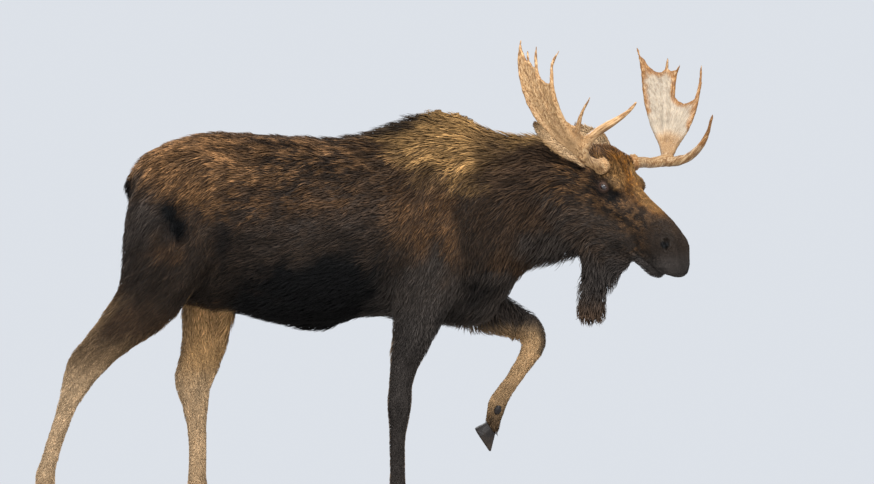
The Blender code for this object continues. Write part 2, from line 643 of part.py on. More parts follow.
def add_tube(bm, points, radii, sides=10):
    """A round tube whose radius runs evenly between the given radii."""
    rings = []
    last = len(points) - 1
    across = (points[1] - points[0]).orthogonal()
    for i, centre in enumerate(points):
        path = (points[min(i + 1, last)] - points[max(i - 1, 0)]).normalized()
        across = (across - path * across.dot(path)).normalized()
        place = i / last * (len(radii) - 1)
        k = min(int(place), len(radii) - 2)
        radius = radii[k] + (radii[k + 1] - radii[k]) * (place - k)
        rings.append(ring(centre, across, path.cross(across), radius, radius, radius, sides=sides))
    loft(bm, rings)


def add_web(bm, first, second, reach_first, reach_second, notch):
    """A plate between two ribs, with a round notch between their tines."""
    rows, columns = WEB_ROWS, WEB_COLUMNS
    inward = Vector((math.sin(math.radians(HEAD_YAW)), -math.cos(math.radians(HEAD_YAW)), 0))
    grid = []
    for j in range(columns + 1):
        across = j / columns
        reach = reach_first + (reach_second - reach_first) * across - notch * math.sin(math.pi * across)
        column = []
        for i in range(rows + 1):
            t = WEB_START + (reach - WEB_START) * i / rows
            column.append(along_path(first, t).lerp(along_path(second, t), across))
        grid.append(column)
    half = inward * PALM_THICKNESS / 2
    lower = [[bm.verts.new(p - half) for p in column] for column in grid]
    upper = [[bm.verts.new(p + half) for p in column] for column in grid]
    for sheet in (lower, upper):
        for a, b in zip(sheet, sheet[1:]):
            for i in range(rows):
                bm.faces.new((a[i], a[i + 1], b[i + 1], b[i]))
    rim = [(0, i) for i in range(rows)] + [(j, rows) for j in range(columns)]
    rim += [(columns, i) for i in range(rows, 0, -1)] + [(j, 0) for j in range(columns, 0, -1)]
    for (j, i), (k, m) in zip(rim, rim[1:] + rim[:1]):
        bm.faces.new((lower[j][i], lower[k][m], upper[k][m], upper[j][i]))


def make_antler(name, beam, ribs, webs, collection):
    """A whole antler, its root cut flat where it meets the head."""
    sign = side_sign(name)
    bm = bmesh.new()
    stem = smooth_path([antler_point(p, sign) for p in beam])
    add_tube(bm, stem, BEAM_RADII, BEAM_SIDES)
    outward = (stem[1] - stem[0]).normalized()
    across = outward.orthogonal().normalized()
    burr = []
    for step, size in BURR_RINGS:
        radius = BURR_RADIUS * size
        middle = stem[0] + outward * step
        burr.append(ring(middle, across, outward.cross(across), radius, radius, radius, sides=BEAM_SIDES))
    loft(bm, burr)
    paths = [smooth_path([antler_point(p, sign) for p in rib]) for rib in ribs]
    for path in paths[:-1]:
        add_tube(bm, path, RIB_RADII)
    add_tube(bm, paths[-1], BROW_RADII)
    for first, second, web in zip(paths, paths[1:], webs):
        add_web(bm, first, second, *web)
    antler = add_mesh_object(name, bm, collection)
    merge_form(antler, ANTLER_VOXEL, ANTLER_SMOOTHING, ANTLER_TRIANGLES)
    bm = bmesh.new()
    bm.from_mesh(antler.data)
    everything = bm.verts[:] + bm.edges[:] + bm.faces[:]
    cut = bmesh.ops.bisect_plane(
        bm, geom=everything, plane_co=stem[0] + outward * GAP, plane_no=outward, clear_inner=True
    )
    rim = [e for e in cut["geom_cut"] if isinstance(e, bmesh.types.BMEdge)]
    bmesh.ops.holes_fill(bm, edges=rim)
    bmesh.ops.triangulate(bm, faces=[f for f in bm.faces if len(f.verts) > 4])
    bm.to_mesh(antler.data)
    bm.free()
    return antler


def make_ear(name, collection):
    """A cupped leaf with a round, open root."""
    root, direction, facing = EARS[name]
    turn = Matrix.Rotation(math.radians(HEAD_YAW), 3, "Z")
    start = heading_point(root)
    along = (turn @ Vector(direction)).normalized()
    face = turn @ Vector(facing)
    face = (face - along * face.dot(along)).normalized()
    across = along.cross(face)
    bm = bmesh.new()
    grid = []
    for i in range(EAR_ROWS + 1):
        u = i / EAR_ROWS
        opening = math.sin(math.pi / 2 * min(1, u / EAR_WIDEST)) ** EAR_OPENING
        closing = max(0, (u - EAR_WIDEST) / (1 - EAR_WIDEST)) ** EAR_CLOSING
        width = EAR_ROOT_RADIUS + (EAR_HALF_WIDTH - EAR_ROOT_RADIUS) * opening
        width = EAR_TIP_RADIUS + (width - EAR_TIP_RADIUS) * (1 - closing)
        flattened = min(1, u / EAR_FLAT_FROM) ** EAR_FLATTENING
        curl = math.radians(EAR_CURL_ROOT + (EAR_CURL_TIP - EAR_CURL_ROOT) * flattened)
        radius = width / math.sin(min(curl, math.pi / 2))
        middle = start + along * EAR_LENGTH * u - face * EAR_BOW * math.sin(math.pi * u * 0.5)
        row = []
        for j in range(EAR_COLUMNS + 1):
            angle = curl * (2 * j / EAR_COLUMNS - 1)
            sideways = across * radius * math.sin(angle)
            row.append(bm.verts.new(middle + sideways - face * radius * math.cos(angle)))
        grid.append(row)
    for a, b in zip(grid, grid[1:]):
        for j in range(EAR_COLUMNS):
            bm.faces.new((a[j], a[j + 1], b[j + 1], b[j]))
    ear = add_mesh_object(name, bm, collection)
    wall = ear.modifiers.new("wall", "SOLIDIFY")
    wall.thickness = EAR_WALL
    wall.offset = 0.0
    apply_modifiers(ear)
    return ear


def foot_matrix(foot):
    """From the frame of a hoof (toe, left, up from the sole) to the world; its origin is the coronet."""
    centre, pitch, _ = FEET[foot]
    return Matrix.Translation(centre) @ Matrix.Rotation(math.radians(pitch), 4, "Y")


def claw_ring(level, toe, heel, width, side):
    """Outline of one claw: blunt behind, drawn to a point in front, straight on its inner side."""
    points = []
    for i in range(CLAW_SIDES):
        angle = 2 * math.pi * i / CLAW_SIDES
        along = math.cos(angle) * (toe if math.cos(angle) > 0 else heel)
        narrow = 1 - CLAW_POINT * max(0.0, math.cos(angle)) ** 1.5
        bulge = math.sin(angle) * width * narrow
        inner = bulge * side < 0
        across = side * (CLAW_GAP / 2 + width) + bulge * (CLAW_INNER if inner else 1.0)
        points.append(Vector((along, across, level)))
    return points


def make_claw(name, foot, side, collection):
    """One claw, cut level with the floor where it would reach below it."""
    toe = FEET[foot][2]
    frame = foot_matrix(foot)
    levels = (
        (0.0, CLAW_TOP, 0.036, 0.0205),
        (-0.5 * HOOF_HEIGHT, (CLAW_TOP + toe) / 2, 0.042, 0.0240),
        (-HOOF_HEIGHT + 0.006, toe - 0.003, 0.045, 0.0250),
        (-HOOF_HEIGHT, toe - 0.007, 0.042, 0.0235),
    )
    bm = bmesh.new()
    loft(bm, [[frame @ p for p in claw_ring(*level, side)] for level in levels])
    claw = add_mesh_object(name, bm, collection)
    bm = bmesh.new()
    bm.from_mesh(claw.data)
    lowest = min(v.co.z for v in bm.verts)
    if lowest < FLOOR:
        everything = bm.verts[:] + bm.edges[:] + bm.faces[:]
        cut = bmesh.ops.bisect_plane(
            bm, geom=everything, plane_co=(0, 0, FLOOR), plane_no=(0, 0, 1), clear_inner=True
        )
        bmesh.ops.holes_fill(bm, edges=[e for e in cut["geom_cut"] if isinstance(e, bmesh.types.BMEdge)])
    bm.to_mesh(claw.data)
    bm.free()
    return claw


def dewclaw_matrix(foot, side, growth):
    """Place and size of a dewclaw, or of the pit it sits in when growth is above zero."""
    back, beside, above = DEWCLAW_PLACE
    place = Matrix.Translation((back, side * beside, above)) @ Matrix.Rotation(math.radians(-35), 4, "Y")
    sizes = [size + growth for size in DEWCLAW]
    return foot_matrix(foot) @ place @ Matrix.Diagonal((*sizes, 1.0))


def make_ball(name, matrix, segments, collection):
    bm = bmesh.new()
    bmesh.ops.create_uvsphere(bm, u_segments=segments, v_segments=segments // 2, radius=1.0, matrix=matrix)
    return add_mesh_object(name, bm, collection)


def eye_matrix(side, growth):
    centre = head_matrix() @ Vector((EYE_ALONG, side * EYE_OUT, 0.0))
    return Matrix.Translation(centre) @ Matrix.Scale(EYE_RADIUS + growth, 4)


def add_disc(centre, normal, radius, thickness, collection, name):
    """A thin round cutter square to the normal, its middle at the centre."""
    bm = bmesh.new()
    bmesh.ops.create_cone(
        bm, cap_ends=True, segments=32, radius1=radius, radius2=radius, depth=thickness,
        matrix=Matrix.Translation(centre) @ Vector(normal).to_track_quat("Z", "Y").to_matrix().to_4x4(),
    )
    return add_mesh_object(name, bm, collection)


def seat_frames():
    """Name, centre of the flat, way out and clear radius of what is set into the head."""
    seats = []
    for name, beam in (("antler_right", BEAM_RIGHT), ("antler_left", BEAM_LEFT)):
        start, end = (antler_point(p, side_sign(name)) for p in beam[:2])
        outward = (end - start).normalized()
        seats.append((name, start - outward * SEAT_GAP, outward, BURR_RADIUS + BURR_CLEARANCE))
    turn = Matrix.Rotation(math.radians(HEAD_YAW), 3, "Z")
    for name, (root, direction, _) in EARS.items():
        outward = (turn @ Vector(direction)).normalized()
        seats.append((name, heading_point(root) - outward * SEAT_GAP, outward, EAR_SEAT_RADIUS))
    return seats


def make_discs(collection):
    """The thin discs that part the body."""
    discs = [add_disc(Vector(c), n, r, CUT, collection, f"cut_{i:02d}") for i, (c, n, r) in enumerate(CUTS)]
    frame = head_matrix()
    for i, (centre, normal, radius) in enumerate(HEAD_CUTS):
        facing = frame.to_3x3() @ Vector(normal)
        discs.append(add_disc(frame @ Vector(centre), facing, radius, CUT, collection, f"head_cut_{i:02d}"))
    return discs


def make_seats(collection):
    """Room for what is set into the body: (piece that is cut, cutter) for each."""
    seats = []
    for name, start, outward, radius in seat_frames():
        middle = start + outward * SEAT_DEPTH / 2
        room = add_disc(middle, outward, radius, SEAT_DEPTH, collection, "seat_" + name)
        seats += [("head", room), ("neck", room)]
    for side, label in SIDE_LABELS:
        frame = eye_matrix(side, EYE_CLEARANCE)
        seats.append(("head", make_ball(f"socket_{label}", frame, EYE_SEGMENTS, collection)))
    for foot in FEET:
        for side, label in SIDE_LABELS:
            frame = dewclaw_matrix(foot, side, GAP)
            pit = make_ball(f"pit_{foot}_{label}", frame, DEWCLAW_SEGMENTS, collection)
            seats.append((foot + "_pastern", pit))
        bm = bmesh.new()
        frame = foot_matrix(foot) @ Matrix.Translation((0, 0, GAP - HOOF_ROOM.z / 2))
        bmesh.ops.create_cube(bm, size=1.0, matrix=frame @ Matrix.Diagonal((*HOOF_ROOM, 1.0)))
        seats.append((foot + "_pastern", add_mesh_object("seat_" + foot, bm, collection)))
    return seats


def subtract(target, cutters):
    """Cut each cutter out of the target, one after the other."""
    for cutter in cutters:
        cut = target.modifiers.new(cutter.name, "BOOLEAN")
        cut.operation = "DIFFERENCE"
        cut.solver = "EXACT"
        cut.object = cutter
    apply_modifiers(target)


def split_pieces(target, collection):
    """The separate bodies of a mesh, each as an object of its own; the target is removed."""
    bm = bmesh.new()
    bm.from_mesh(target.data)
    bpy.data.objects.remove(target, do_unlink=True)
    left = set(bm.faces)
    pieces = []
    while left:
        stack = [left.pop()]
        island = []
        while stack:
            face = stack.pop()
            island.append(face)
            near = {other for edge in face.edges for other in edge.link_faces} & left
            left -= near
            stack.extend(near)
        island.sort(key=lambda f: f.index)
        copy = bmesh.new()
        known = {}
        for face in island:
            for v in face.verts:
                if v not in known:
                    known[v] = copy.verts.new(v.co)
            copy.faces.new([known[v] for v in face.verts])
        pieces.append(add_mesh_object("piece", copy, collection))
    bm.free()
    return pieces


def box_centre(target):
    corners = [v.co for v in target.data.vertices]
    low = Vector([min(c[i] for c in corners) for i in range(3)])
    high = Vector([max(c[i] for c in corners) for i in range(3)])
    return (low + high) / 2


def name_pieces(pieces, places):
    """Give each piece the name of the place nearest its middle; every name is used once."""
    for piece in pieces:
        middle = box_centre(piece)
        name = min(places, key=lambda n: (Vector(places[n]) - middle).length)
        if piece.name != name and name in bpy.data.objects:
            raise RuntimeError(f"two pieces at {name}: {tuple(middle)}")
        piece.name = name
    missing = [name for name in places if name not in bpy.data.objects]
    if missing:
        raise RuntimeError(f"no piece for {missing}")


def part_body(body, cutters, collection):
    """Cut the body, give each of its pieces a name, and make room for what is set into them."""
    subtract(body, make_discs(cutters))
    pieces = split_pieces(body, collection)
    for piece in pieces:
        thin_out(piece, PIECE_KEEP)
    name_pieces(pieces, {name: place for name, (place, _) in PLACES.items()})
    for name, cutter in make_seats(cutters):
        subtract(bpy.data.objects[name], [cutter])
    for piece in pieces:
        clean_up(piece)


def part_antler(antler, cutters, collection):
    """Split an antler at its main forks into beam, palm and brow tine."""
    name = antler.name
    sign = side_sign(name)
    turn = math.radians(HEAD_YAW)
    left = Vector((-math.sin(turn), math.cos(turn), 0)) * sign
    discs = []
    for i, (centre, normal, radius) in enumerate(ANTLER_CUTS[name]):
        facing = Vector((normal[0], 0, normal[2])) + left * normal[1]
        discs.append(add_disc(antler_point(centre, sign), facing, radius, CUT, cutters, f"{name}_cut_{i}"))
    subtract(antler, discs)
    places = {f"{name}_{part}": antler_point(p, sign) for part, p in ANTLER_PLACES[name].items()}
    name_pieces(split_pieces(antler, collection), places)


def make_base(collection):
    """The flat display base with rounded corners and a small rounded edge."""
    bm = bmesh.new()
    size = Matrix.Diagonal((BASE_LENGTH, BASE_WIDTH, BASE_THICKNESS, 1.0))
    bmesh.ops.create_cube(bm, size=1.0, matrix=Matrix.Translation((0, 0, BASE_THICKNESS / 2)) @ size)
    upright = [e for e in bm.edges if abs(e.verts[0].co.z - e.verts[1].co.z) > BASE_THICKNESS / 2]
    bmesh.ops.bevel(bm, geom=upright, offset=BASE_CORNER, segments=5, profile=0.5, affect="EDGES")
    rim = [e for e in bm.edges if all(v.co.z > BASE_THICKNESS * 0.9 for v in e.verts)]
    bmesh.ops.bevel(bm, geom=rim, offset=BASE_EDGE, segments=1, profile=0.5, affect="EDGES")
    return add_mesh_object("stand_base", bm, collection)


def finish(collection):
    """Give each piece its material and smooth shading."""
    finishes = {name: material(name, colour, roughness) for name, (colour, roughness) in FINISHES.items()}
    for piece in collection.objects:
        if piece.name in PLACES:
            slot = PLACES[piece.name][1]
        else:
            slot = next(slot for word, slot in SLOTS if word in piece.name)
        piece.data.materials.clear()
        piece.data.materials.append(finishes[slot])
        piece.data.shade_smooth()
        piece.data.set_sharp_from_angle(angle=math.radians(50))


def main():
    clear_scene()
    moose = new_collection("moose")
    cutters = new_collection("cutters")
    body = make_body(moose)
    part_body(body, cutters, moose)
    right = make_antler("antler_right", BEAM_RIGHT, RIBS_RIGHT, WEBS_RIGHT, moose)
    part_antler(right, cutters, moose)
    left = make_antler("antler_left", BEAM_LEFT, RIBS_LEFT, WEBS_LEFT, moose)
    part_antler(left, cutters, moose)
    for name in EARS:
        make_ear(name, moose)
    for foot in FEET:
        for side, label in SIDE_LABELS:
            make_claw(f"{foot}_claw_{label}", foot, side, moose)
            make_ball(f"{foot}_dewclaw_{label}", dewclaw_matrix(foot, side, 0.0), DEWCLAW_SEGMENTS, moose)
    for side, label in SIDE_LABELS:
        make_ball(f"eye_{label}", eye_matrix(side, 0.0), EYE_SEGMENTS, moose)
    make_base(moose)
    finish(moose)
    for cutter in cutters.objects:
        cutter.hide_render = True
        cutter.display_type = "WIRE"


main()
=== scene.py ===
"""The looks of a life-size walking bull moose: skin, coat, antlers, eyes, hooves, stand and studio."""
import math

import bmesh
import bpy
import numpy as np
from mathutils import Matrix, Vector
from mathutils.bvhtree import BVHTree
from mathutils.kdtree import KDTree


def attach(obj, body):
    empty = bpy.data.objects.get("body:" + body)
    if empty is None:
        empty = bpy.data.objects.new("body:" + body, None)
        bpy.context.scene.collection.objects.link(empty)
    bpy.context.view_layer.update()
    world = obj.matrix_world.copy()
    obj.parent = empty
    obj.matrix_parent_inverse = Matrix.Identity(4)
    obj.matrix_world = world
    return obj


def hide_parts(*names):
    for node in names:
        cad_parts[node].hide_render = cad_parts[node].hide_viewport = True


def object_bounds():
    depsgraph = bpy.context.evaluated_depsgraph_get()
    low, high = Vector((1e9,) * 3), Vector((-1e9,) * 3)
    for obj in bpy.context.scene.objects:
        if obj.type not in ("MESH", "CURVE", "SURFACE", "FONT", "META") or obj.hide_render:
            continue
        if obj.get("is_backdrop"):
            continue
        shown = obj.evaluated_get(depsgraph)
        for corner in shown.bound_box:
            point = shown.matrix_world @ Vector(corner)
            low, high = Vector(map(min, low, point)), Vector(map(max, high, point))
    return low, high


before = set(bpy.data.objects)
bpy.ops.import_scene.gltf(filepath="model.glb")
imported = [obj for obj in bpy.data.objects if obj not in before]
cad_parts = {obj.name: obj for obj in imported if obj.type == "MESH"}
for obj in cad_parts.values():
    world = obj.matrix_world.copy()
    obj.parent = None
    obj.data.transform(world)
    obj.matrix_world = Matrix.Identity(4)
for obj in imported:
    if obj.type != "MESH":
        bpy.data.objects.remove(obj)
CAD_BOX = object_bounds()

FLESH = [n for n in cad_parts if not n.startswith(("antler", "ear", "eye", "stand")) and "claw" not in n]
FEET = ("fore_right", "fore_left", "hind_right", "hind_left")
EARS = ("ear_right", "ear_left")

# ---- the animal's own axes ----

HEAD_CENTRE = np.array((1.197, -0.175, 1.467))  # midway between the eyes
HEAD_YAW = -35.0
HEAD_PITCH = 37.0
HEAD_TURN = np.array(
    Matrix.Rotation(math.radians(HEAD_YAW), 3, "Z") @ Matrix.Rotation(math.radians(HEAD_PITCH), 3, "Y")
)
# The spine's middle line, which bends to the right in the neck.
SPINE_X = (-0.9, 0.66, 0.80, 0.98, 1.13, 1.30)
SPINE_Y = (0.0, 0.0, -0.016, -0.060, -0.132, -0.24)


def to_head(places):
    """World places in the head's own axes: along the face, out to the side, up."""
    return (places - HEAD_CENTRE) @ HEAD_TURN


def from_head(places):
    return np.asarray(places) @ HEAD_TURN.T + HEAD_CENTRE


def beside_spine(places):
    """How far places lie to the left of the spine's middle line."""
    return places[:, 1] - np.interp(places[:, 0], SPINE_X, SPINE_Y)


def folded(places, out=None):
    """Places with the right side laid over the left one, and which side each was on: -1 right, 1 left."""
    out = places[:, 1] if out is None else out
    return np.stack((places[:, 0], np.abs(out), places[:, 2]), 1), np.where(out < 0, -1.0, 1.0)


# ---- arrays and meshes ----

TINY = 1e-12  # keeps a division from failing


def unit(vectors):
    return vectors / np.maximum(np.linalg.norm(vectors, axis=1, keepdims=True), TINY)


def smoothstep(low, high, value):
    t = np.clip((value - low) / (high - low), 0, 1)
    return t * t * (3 - 2 * t)


def bell_curve(distance, width):
    return np.exp(-((distance / width) ** 2))


def in_box(places, box):
    low, high = box
    return ((places > low) & (places < high)).all(1)


def places_of(mesh):
    places = np.empty(len(mesh.vertices) * 3, np.float32)
    mesh.vertices.foreach_get("co", places)
    return places.reshape(-1, 3).astype(float)


def move_to(mesh, places):
    mesh.vertices.foreach_set("co", np.asarray(places, np.float32).ravel())


def triangles_of(mesh):
    mesh.calc_loop_triangles()
    corners = np.empty(len(mesh.loop_triangles) * 3, np.int32)
    mesh.loop_triangles.foreach_get("vertices", corners)
    return corners.reshape(-1, 3)


def edges_of(mesh):
    ends = np.empty(len(mesh.edges) * 2, np.int32)
    mesh.edges.foreach_get("vertices", ends)
    return ends.reshape(-1, 2)


def face_normals(places, triangles):
    """Normals of triangles, as long as twice the area."""
    a, b, c = (places[triangles[:, i]] for i in range(3))
    return np.cross(b - a, c - a)


def normals_of(places, triangles):
    """Normals of a mesh's points, weighted by the area of the faces round them."""
    faces = face_normals(places, triangles)
    normals = np.zeros_like(places)
    for i in range(3):
        for axis in range(3):
            normals[:, axis] += np.bincount(triangles[:, i], faces[:, axis], len(places))
    return unit(normals)


def weld(places, triangles):
    """Join loose triangles at the points that they share."""
    merged, index = np.unique(np.round(places, 5), axis=0, return_inverse=True)
    return merged, index.reshape(-1)[triangles]


PULL_IN, PULL_OUT = 0.5, -0.53  # how far a point goes towards its neighbours, and back


def relax(places, ends, steps, share=None, keep_volume=True):
    """Even out a mesh's points; with keep_volume each step in is followed by one out."""
    pulls = (PULL_IN, PULL_OUT) if keep_volume else (PULL_IN,)
    count = np.bincount(ends.ravel(), minlength=len(places))[:, None].clip(1)
    weight = 1.0 if share is None else share[:, None]
    for _ in range(steps):
        for pull in pulls:
            total = np.zeros_like(places)
            for axis in range(3):
                total[:, axis] = np.bincount(ends[:, 0], places[ends[:, 1], axis], len(places))
                total[:, axis] += np.bincount(ends[:, 1], places[ends[:, 0], axis], len(places))
            places = places + weight * pull * (total / count - places)
    return places


def joined(shells):
    """Shells as one: each has places, triangles and perhaps more rows."""
    places, triangles, *more = zip(*shells)
    starts = np.cumsum([0, *map(len, places[:-1])])
    triangles = [part + start for part, start in zip(triangles, starts)]
    return [np.concatenate(rows) for rows in (places, triangles, *more)]


def new_mesh(name, places, triangles):
    mesh = bpy.data.meshes.new(name)
    mesh.vertices.add(len(places))
    move_to(mesh, places)
    mesh.loops.add(len(triangles) * 3)
    mesh.loops.foreach_set("vertex_index", np.asarray(triangles, np.int32).ravel())
    mesh.polygons.add(len(triangles))
    mesh.polygons.foreach_set("loop_start", np.arange(0, len(triangles) * 3, 3, dtype=np.int32))
    mesh.update(calc_edges=True)
    mesh.shade_smooth()
    return mesh


def label_points(mesh, name, kind, values):
    """Give a mesh's points a named attribute."""
    field = {"FLOAT_COLOR": "color", "FLOAT_VECTOR": "vector"}.get(kind, "value")
    mesh.attributes.new(name, kind, "POINT").data.foreach_set(field, values.ravel())


def paint(mesh, name, colours):
    values = np.ones((len(colours), 4), np.float32)
    values[:, :3] = colours
    label_points(mesh, name, "FLOAT_COLOR", values)


def modified(mesh, kind, inputs=(), **settings):
    """The plain mesh that a modifier makes of a mesh; inputs are those of a Geometry Nodes tree."""
    worker = bpy.data.objects.new("worker", mesh)
    bpy.context.scene.collection.objects.link(worker)
    modifier = worker.modifiers.new("worker", kind)
    for label, value in settings.items():
        setattr(modifier, label, value)
    for identifier, value in dict(inputs).items():
        modifier[identifier] = value
    result = bpy.data.meshes.new_from_object(worker.evaluated_get(bpy.context.evaluated_depsgraph_get()))
    bpy.data.objects.remove(worker, do_unlink=True)
    return result


def made(name, maker, **settings):
    """A mesh by one of the plain makers of shapes."""
    bm = bmesh.new()
    maker(bm, **settings)
    mesh = bpy.data.meshes.new(name)
    bm.to_mesh(mesh)
    bm.free()
    return mesh


def add_piece(name, mesh, material=None, slot=None, replaced=()):
    """Show a mesh as a piece that rides on the model's one body and stands for the CAD nodes named."""
    piece = bpy.data.objects.new(name, mesh)
    bpy.context.scene.collection.objects.link(piece)
    if material:
        mesh.materials.clear()
        mesh.materials.append(material)
    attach(piece, "root")
    if replaced:
        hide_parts(*replaced)


def node_arrays(names, growth=0.0):
    """The welded faces of several CAD nodes together, each grown a little so that they overlap."""
    shells = []
    for name in names:
        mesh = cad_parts[name].data
        places, triangles = weld(places_of(mesh), triangles_of(mesh))
        shells.append((places + growth * normals_of(places, triangles), triangles))
    return joined(shells)


def evened(places, triangles, voxel):
    """One even closed mesh round overlapping shells."""
    return modified(new_mesh("worker", places, triangles), "REMESH", mode="VOXEL", voxel_size=voxel)


# ---- how the coat lies ----

# Guides on the body: where (x, out from the spine, z), how far each reaches, which way the hair points (back
# is -x, out, up), the hair's length and width and the coat's depth in millimetres.
BODY_COAT = (
    ((0.46, 0.00, 1.80), 0.17, (-0.96, 0.12, 0.16), 68, 4.2, 25),  # hump
    ((0.46, 0.17, 1.66), 0.17, (-0.86, 0.06, -0.42), 54, 4.0, 17),  # side of the hump
    ((0.70, 0.02, 1.72), 0.15, (-0.90, 0.10, 0.34), 84, 4.4, 27),  # mane
    ((0.98, 0.02, 1.66), 0.15, (-0.82, 0.10, 0.48), 80, 4.4, 26),  # nape
    ((0.82, 0.14, 1.57), 0.15, (-0.88, 0.10, -0.20), 58, 4.0, 18),  # side of the neck
    ((0.85, 0.14, 1.34), 0.17, (-0.62, 0.05, -0.78), 52, 4.0, 17),
    ((0.98, 0.03, 1.19), 0.14, (-0.50, 0.02, -0.86), 80, 4.5, 26),  # throat
    ((0.74, 0.06, 1.03), 0.15, (-0.45, 0.05, -0.90), 66, 4.5, 22),  # chest
    ((0.44, 0.23, 1.42), 0.16, (-0.66, 0.05, -0.75), 46, 3.9, 15),  # shoulder
    ((0.42, 0.22, 1.16), 0.16, (-0.42, 0.00, -0.90), 42, 4.0, 13),
    ((0.12, 0.26, 1.38), 0.20, (-0.94, 0.02, -0.32), 44, 3.9, 14),  # ribs
    ((-0.26, 0.26, 1.36), 0.20, (-0.95, 0.02, -0.28), 44, 3.9, 13),  # flank
    ((0.12, 0.03, 1.70), 0.16, (-0.99, 0.02, 0.12), 74, 4.5, 22),  # back
    ((-0.32, 0.03, 1.69), 0.18, (-0.99, 0.04, 0.02), 48, 4.0, 15),  # loin
    ((-0.62, 0.04, 1.66), 0.16, (-0.98, 0.08, -0.12), 46, 4.0, 14),  # rump
    ((-0.64, 0.21, 1.48), 0.16, (-0.78, 0.05, -0.62), 44, 3.9, 13),
    ((-0.81, 0.09, 1.36), 0.14, (-0.35, 0.05, -0.92), 50, 4.0, 13),  # buttock
    ((-0.62, 0.23, 1.20), 0.16, (-0.52, 0.00, -0.85), 44, 4.0, 12),  # thigh
    ((0.12, 0.14, 0.93), 0.16, (-0.88, 0.12, -0.45), 60, 4.2, 17),  # belly
    ((-0.28, 0.12, 0.95), 0.16, (-0.86, 0.05, -0.48), 60, 4.2, 17),
    ((-0.63, 0.24, 1.33), 0.07, (-0.60, 0.00, -0.80), 18, 3.4, 5),  # hollow of the hip
    ((-0.87, 0.00, 1.47), 0.08, (-0.45, 0.05, -0.88), 46, 4.0, 10),  # tail
)
# The same on the head: along the face, out to the side, up.
HEAD_COAT = (
    ((-0.14, 0.02, 0.12), 0.08, (-0.90, 0.10, 0.35), 34, 3.0, 11),  # poll
    ((-0.03, 0.03, 0.10), 0.07, (-0.95, 0.15, 0.12), 22, 2.6, 8),  # forehead
    ((0.08, 0.02, 0.07), 0.08, (-0.99, 0.05, 0.04), 15, 2.4, 5),
    ((0.22, 0.02, 0.06), 0.09, (-0.99, 0.05, 0.02), 11, 2.2, 3.5),  # bridge of the nose
    ((0.36, 0.02, 0.04), 0.08, (-0.97, 0.05, 0.05), 8, 2.0, 2.5),
    ((0.46, 0.02, -0.05), 0.06, (-0.80, 0.05, 0.40), 6, 1.8, 2),  # tip of the nose
    ((0.01, 0.10, 0.00), 0.05, (-0.97, 0.05, -0.10), 12, 2.2, 4),  # round the eye
    ((0.06, 0.08, -0.09), 0.08, (-0.92, 0.05, -0.30), 20, 2.4, 6),  # cheek
    ((-0.07, 0.09, -0.06), 0.08, (-0.92, 0.05, -0.30), 28, 3.0, 10),
    ((-0.05, 0.06, -0.18), 0.08, (-0.72, 0.05, -0.70), 42, 3.4, 14),  # corner of the jaw
    ((0.20, 0.06, -0.08), 0.09, (-0.96, 0.02, -0.22), 13, 2.2, 4),  # side of the muzzle
    ((0.34, 0.06, -0.02), 0.06, (-0.95, 0.05, -0.05), 8, 2.0, 2.5),
    ((0.40, 0.04, -0.10), 0.06, (-0.75, 0.10, -0.55), 9, 1.8, 2.5),  # upper lip
    ((0.33, 0.03, -0.18), 0.06, (-0.85, 0.05, -0.45), 17, 2.2, 5),  # chin
    ((0.14, 0.03, -0.20), 0.08, (-0.80, 0.05, -0.58), 34, 3.0, 11),
)
# The same on the bell, as places and directions of the world.
BELL_COAT = (
    ((1.12, -0.150, 1.16), 0.08, (0.05, 0.0, -1.0), 66, 4.2, 13),
    ((1.10, -0.145, 1.06), 0.06, (-0.10, 0.0, -1.0), 62, 4.2, 13),
    ((1.084, -0.140, 0.96), 0.06, (0.1, 0.0, -1.0), 46, 4.2, 12),
)
LEG_SPAN = 0.8  # share of a leg's part that lies between its two guides
LEG_REACH = 0.45  # how far those reach, as a share of the way between them
GUIDE_FALL = 2.2  # how fast a guide's pull falls off
FAR_PULL, FAR_SPREAD = 1e-9, 0.02  # the pull that is left far from every guide
# Coat of a leg's parts: length, width and depth at the upper and at the lower end.
LEG_COAT = {
    "forearm": ((36, 3.6, 10), (20, 3.0, 6)),
    "gaskin": ((38, 3.6, 10), (22, 3.0, 6)),
    "cannon": ((17, 2.8, 5), (15, 2.8, 4)),
    "pastern": ((19, 2.8, 5), (34, 3.0, 8)),
}


def leg_axis(name):
    """Upper and lower end of a leg's part, from the corners of its CAD node along its longest way."""
    places = places_of(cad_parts[name].data)
    middle = places.mean(0)
    axis = np.linalg.svd(places - middle, full_matrices=False)[2][0]
    axis *= -np.sign(axis[2])
    reach = (places - middle) @ axis
    return middle + axis * reach.min() * LEG_SPAN, middle + axis * reach.max() * LEG_SPAN


def coat_guides():
    """Every guide: kind of axes (0 body, 1 head, 2 world), place, reach, lie, and length, width and depth."""
    rows = [
        (kind, place, reach, lie, sizes)
        for kind, table in enumerate((BODY_COAT, HEAD_COAT, BELL_COAT))
        for place, reach, lie, *sizes in table
    ]
    for foot in FEET:
        upper = "forearm" if foot.startswith("fore") else "gaskin"
        for part in (upper, "cannon", "pastern"):
            top, low = leg_axis(f"{foot}_{part}")
            length = np.linalg.norm(low - top)
            for end, sizes in zip((top, low), LEG_COAT[part]):
                rows.append((2, end, length * LEG_REACH, (low - top) / length, sizes))
    kind, place, reach, lie, sizes = zip(*rows)
    return kind, np.array(place, float), np.array(reach), unit(np.array(lie, float)), np.array(sizes, float)


GUIDES = coat_guides()


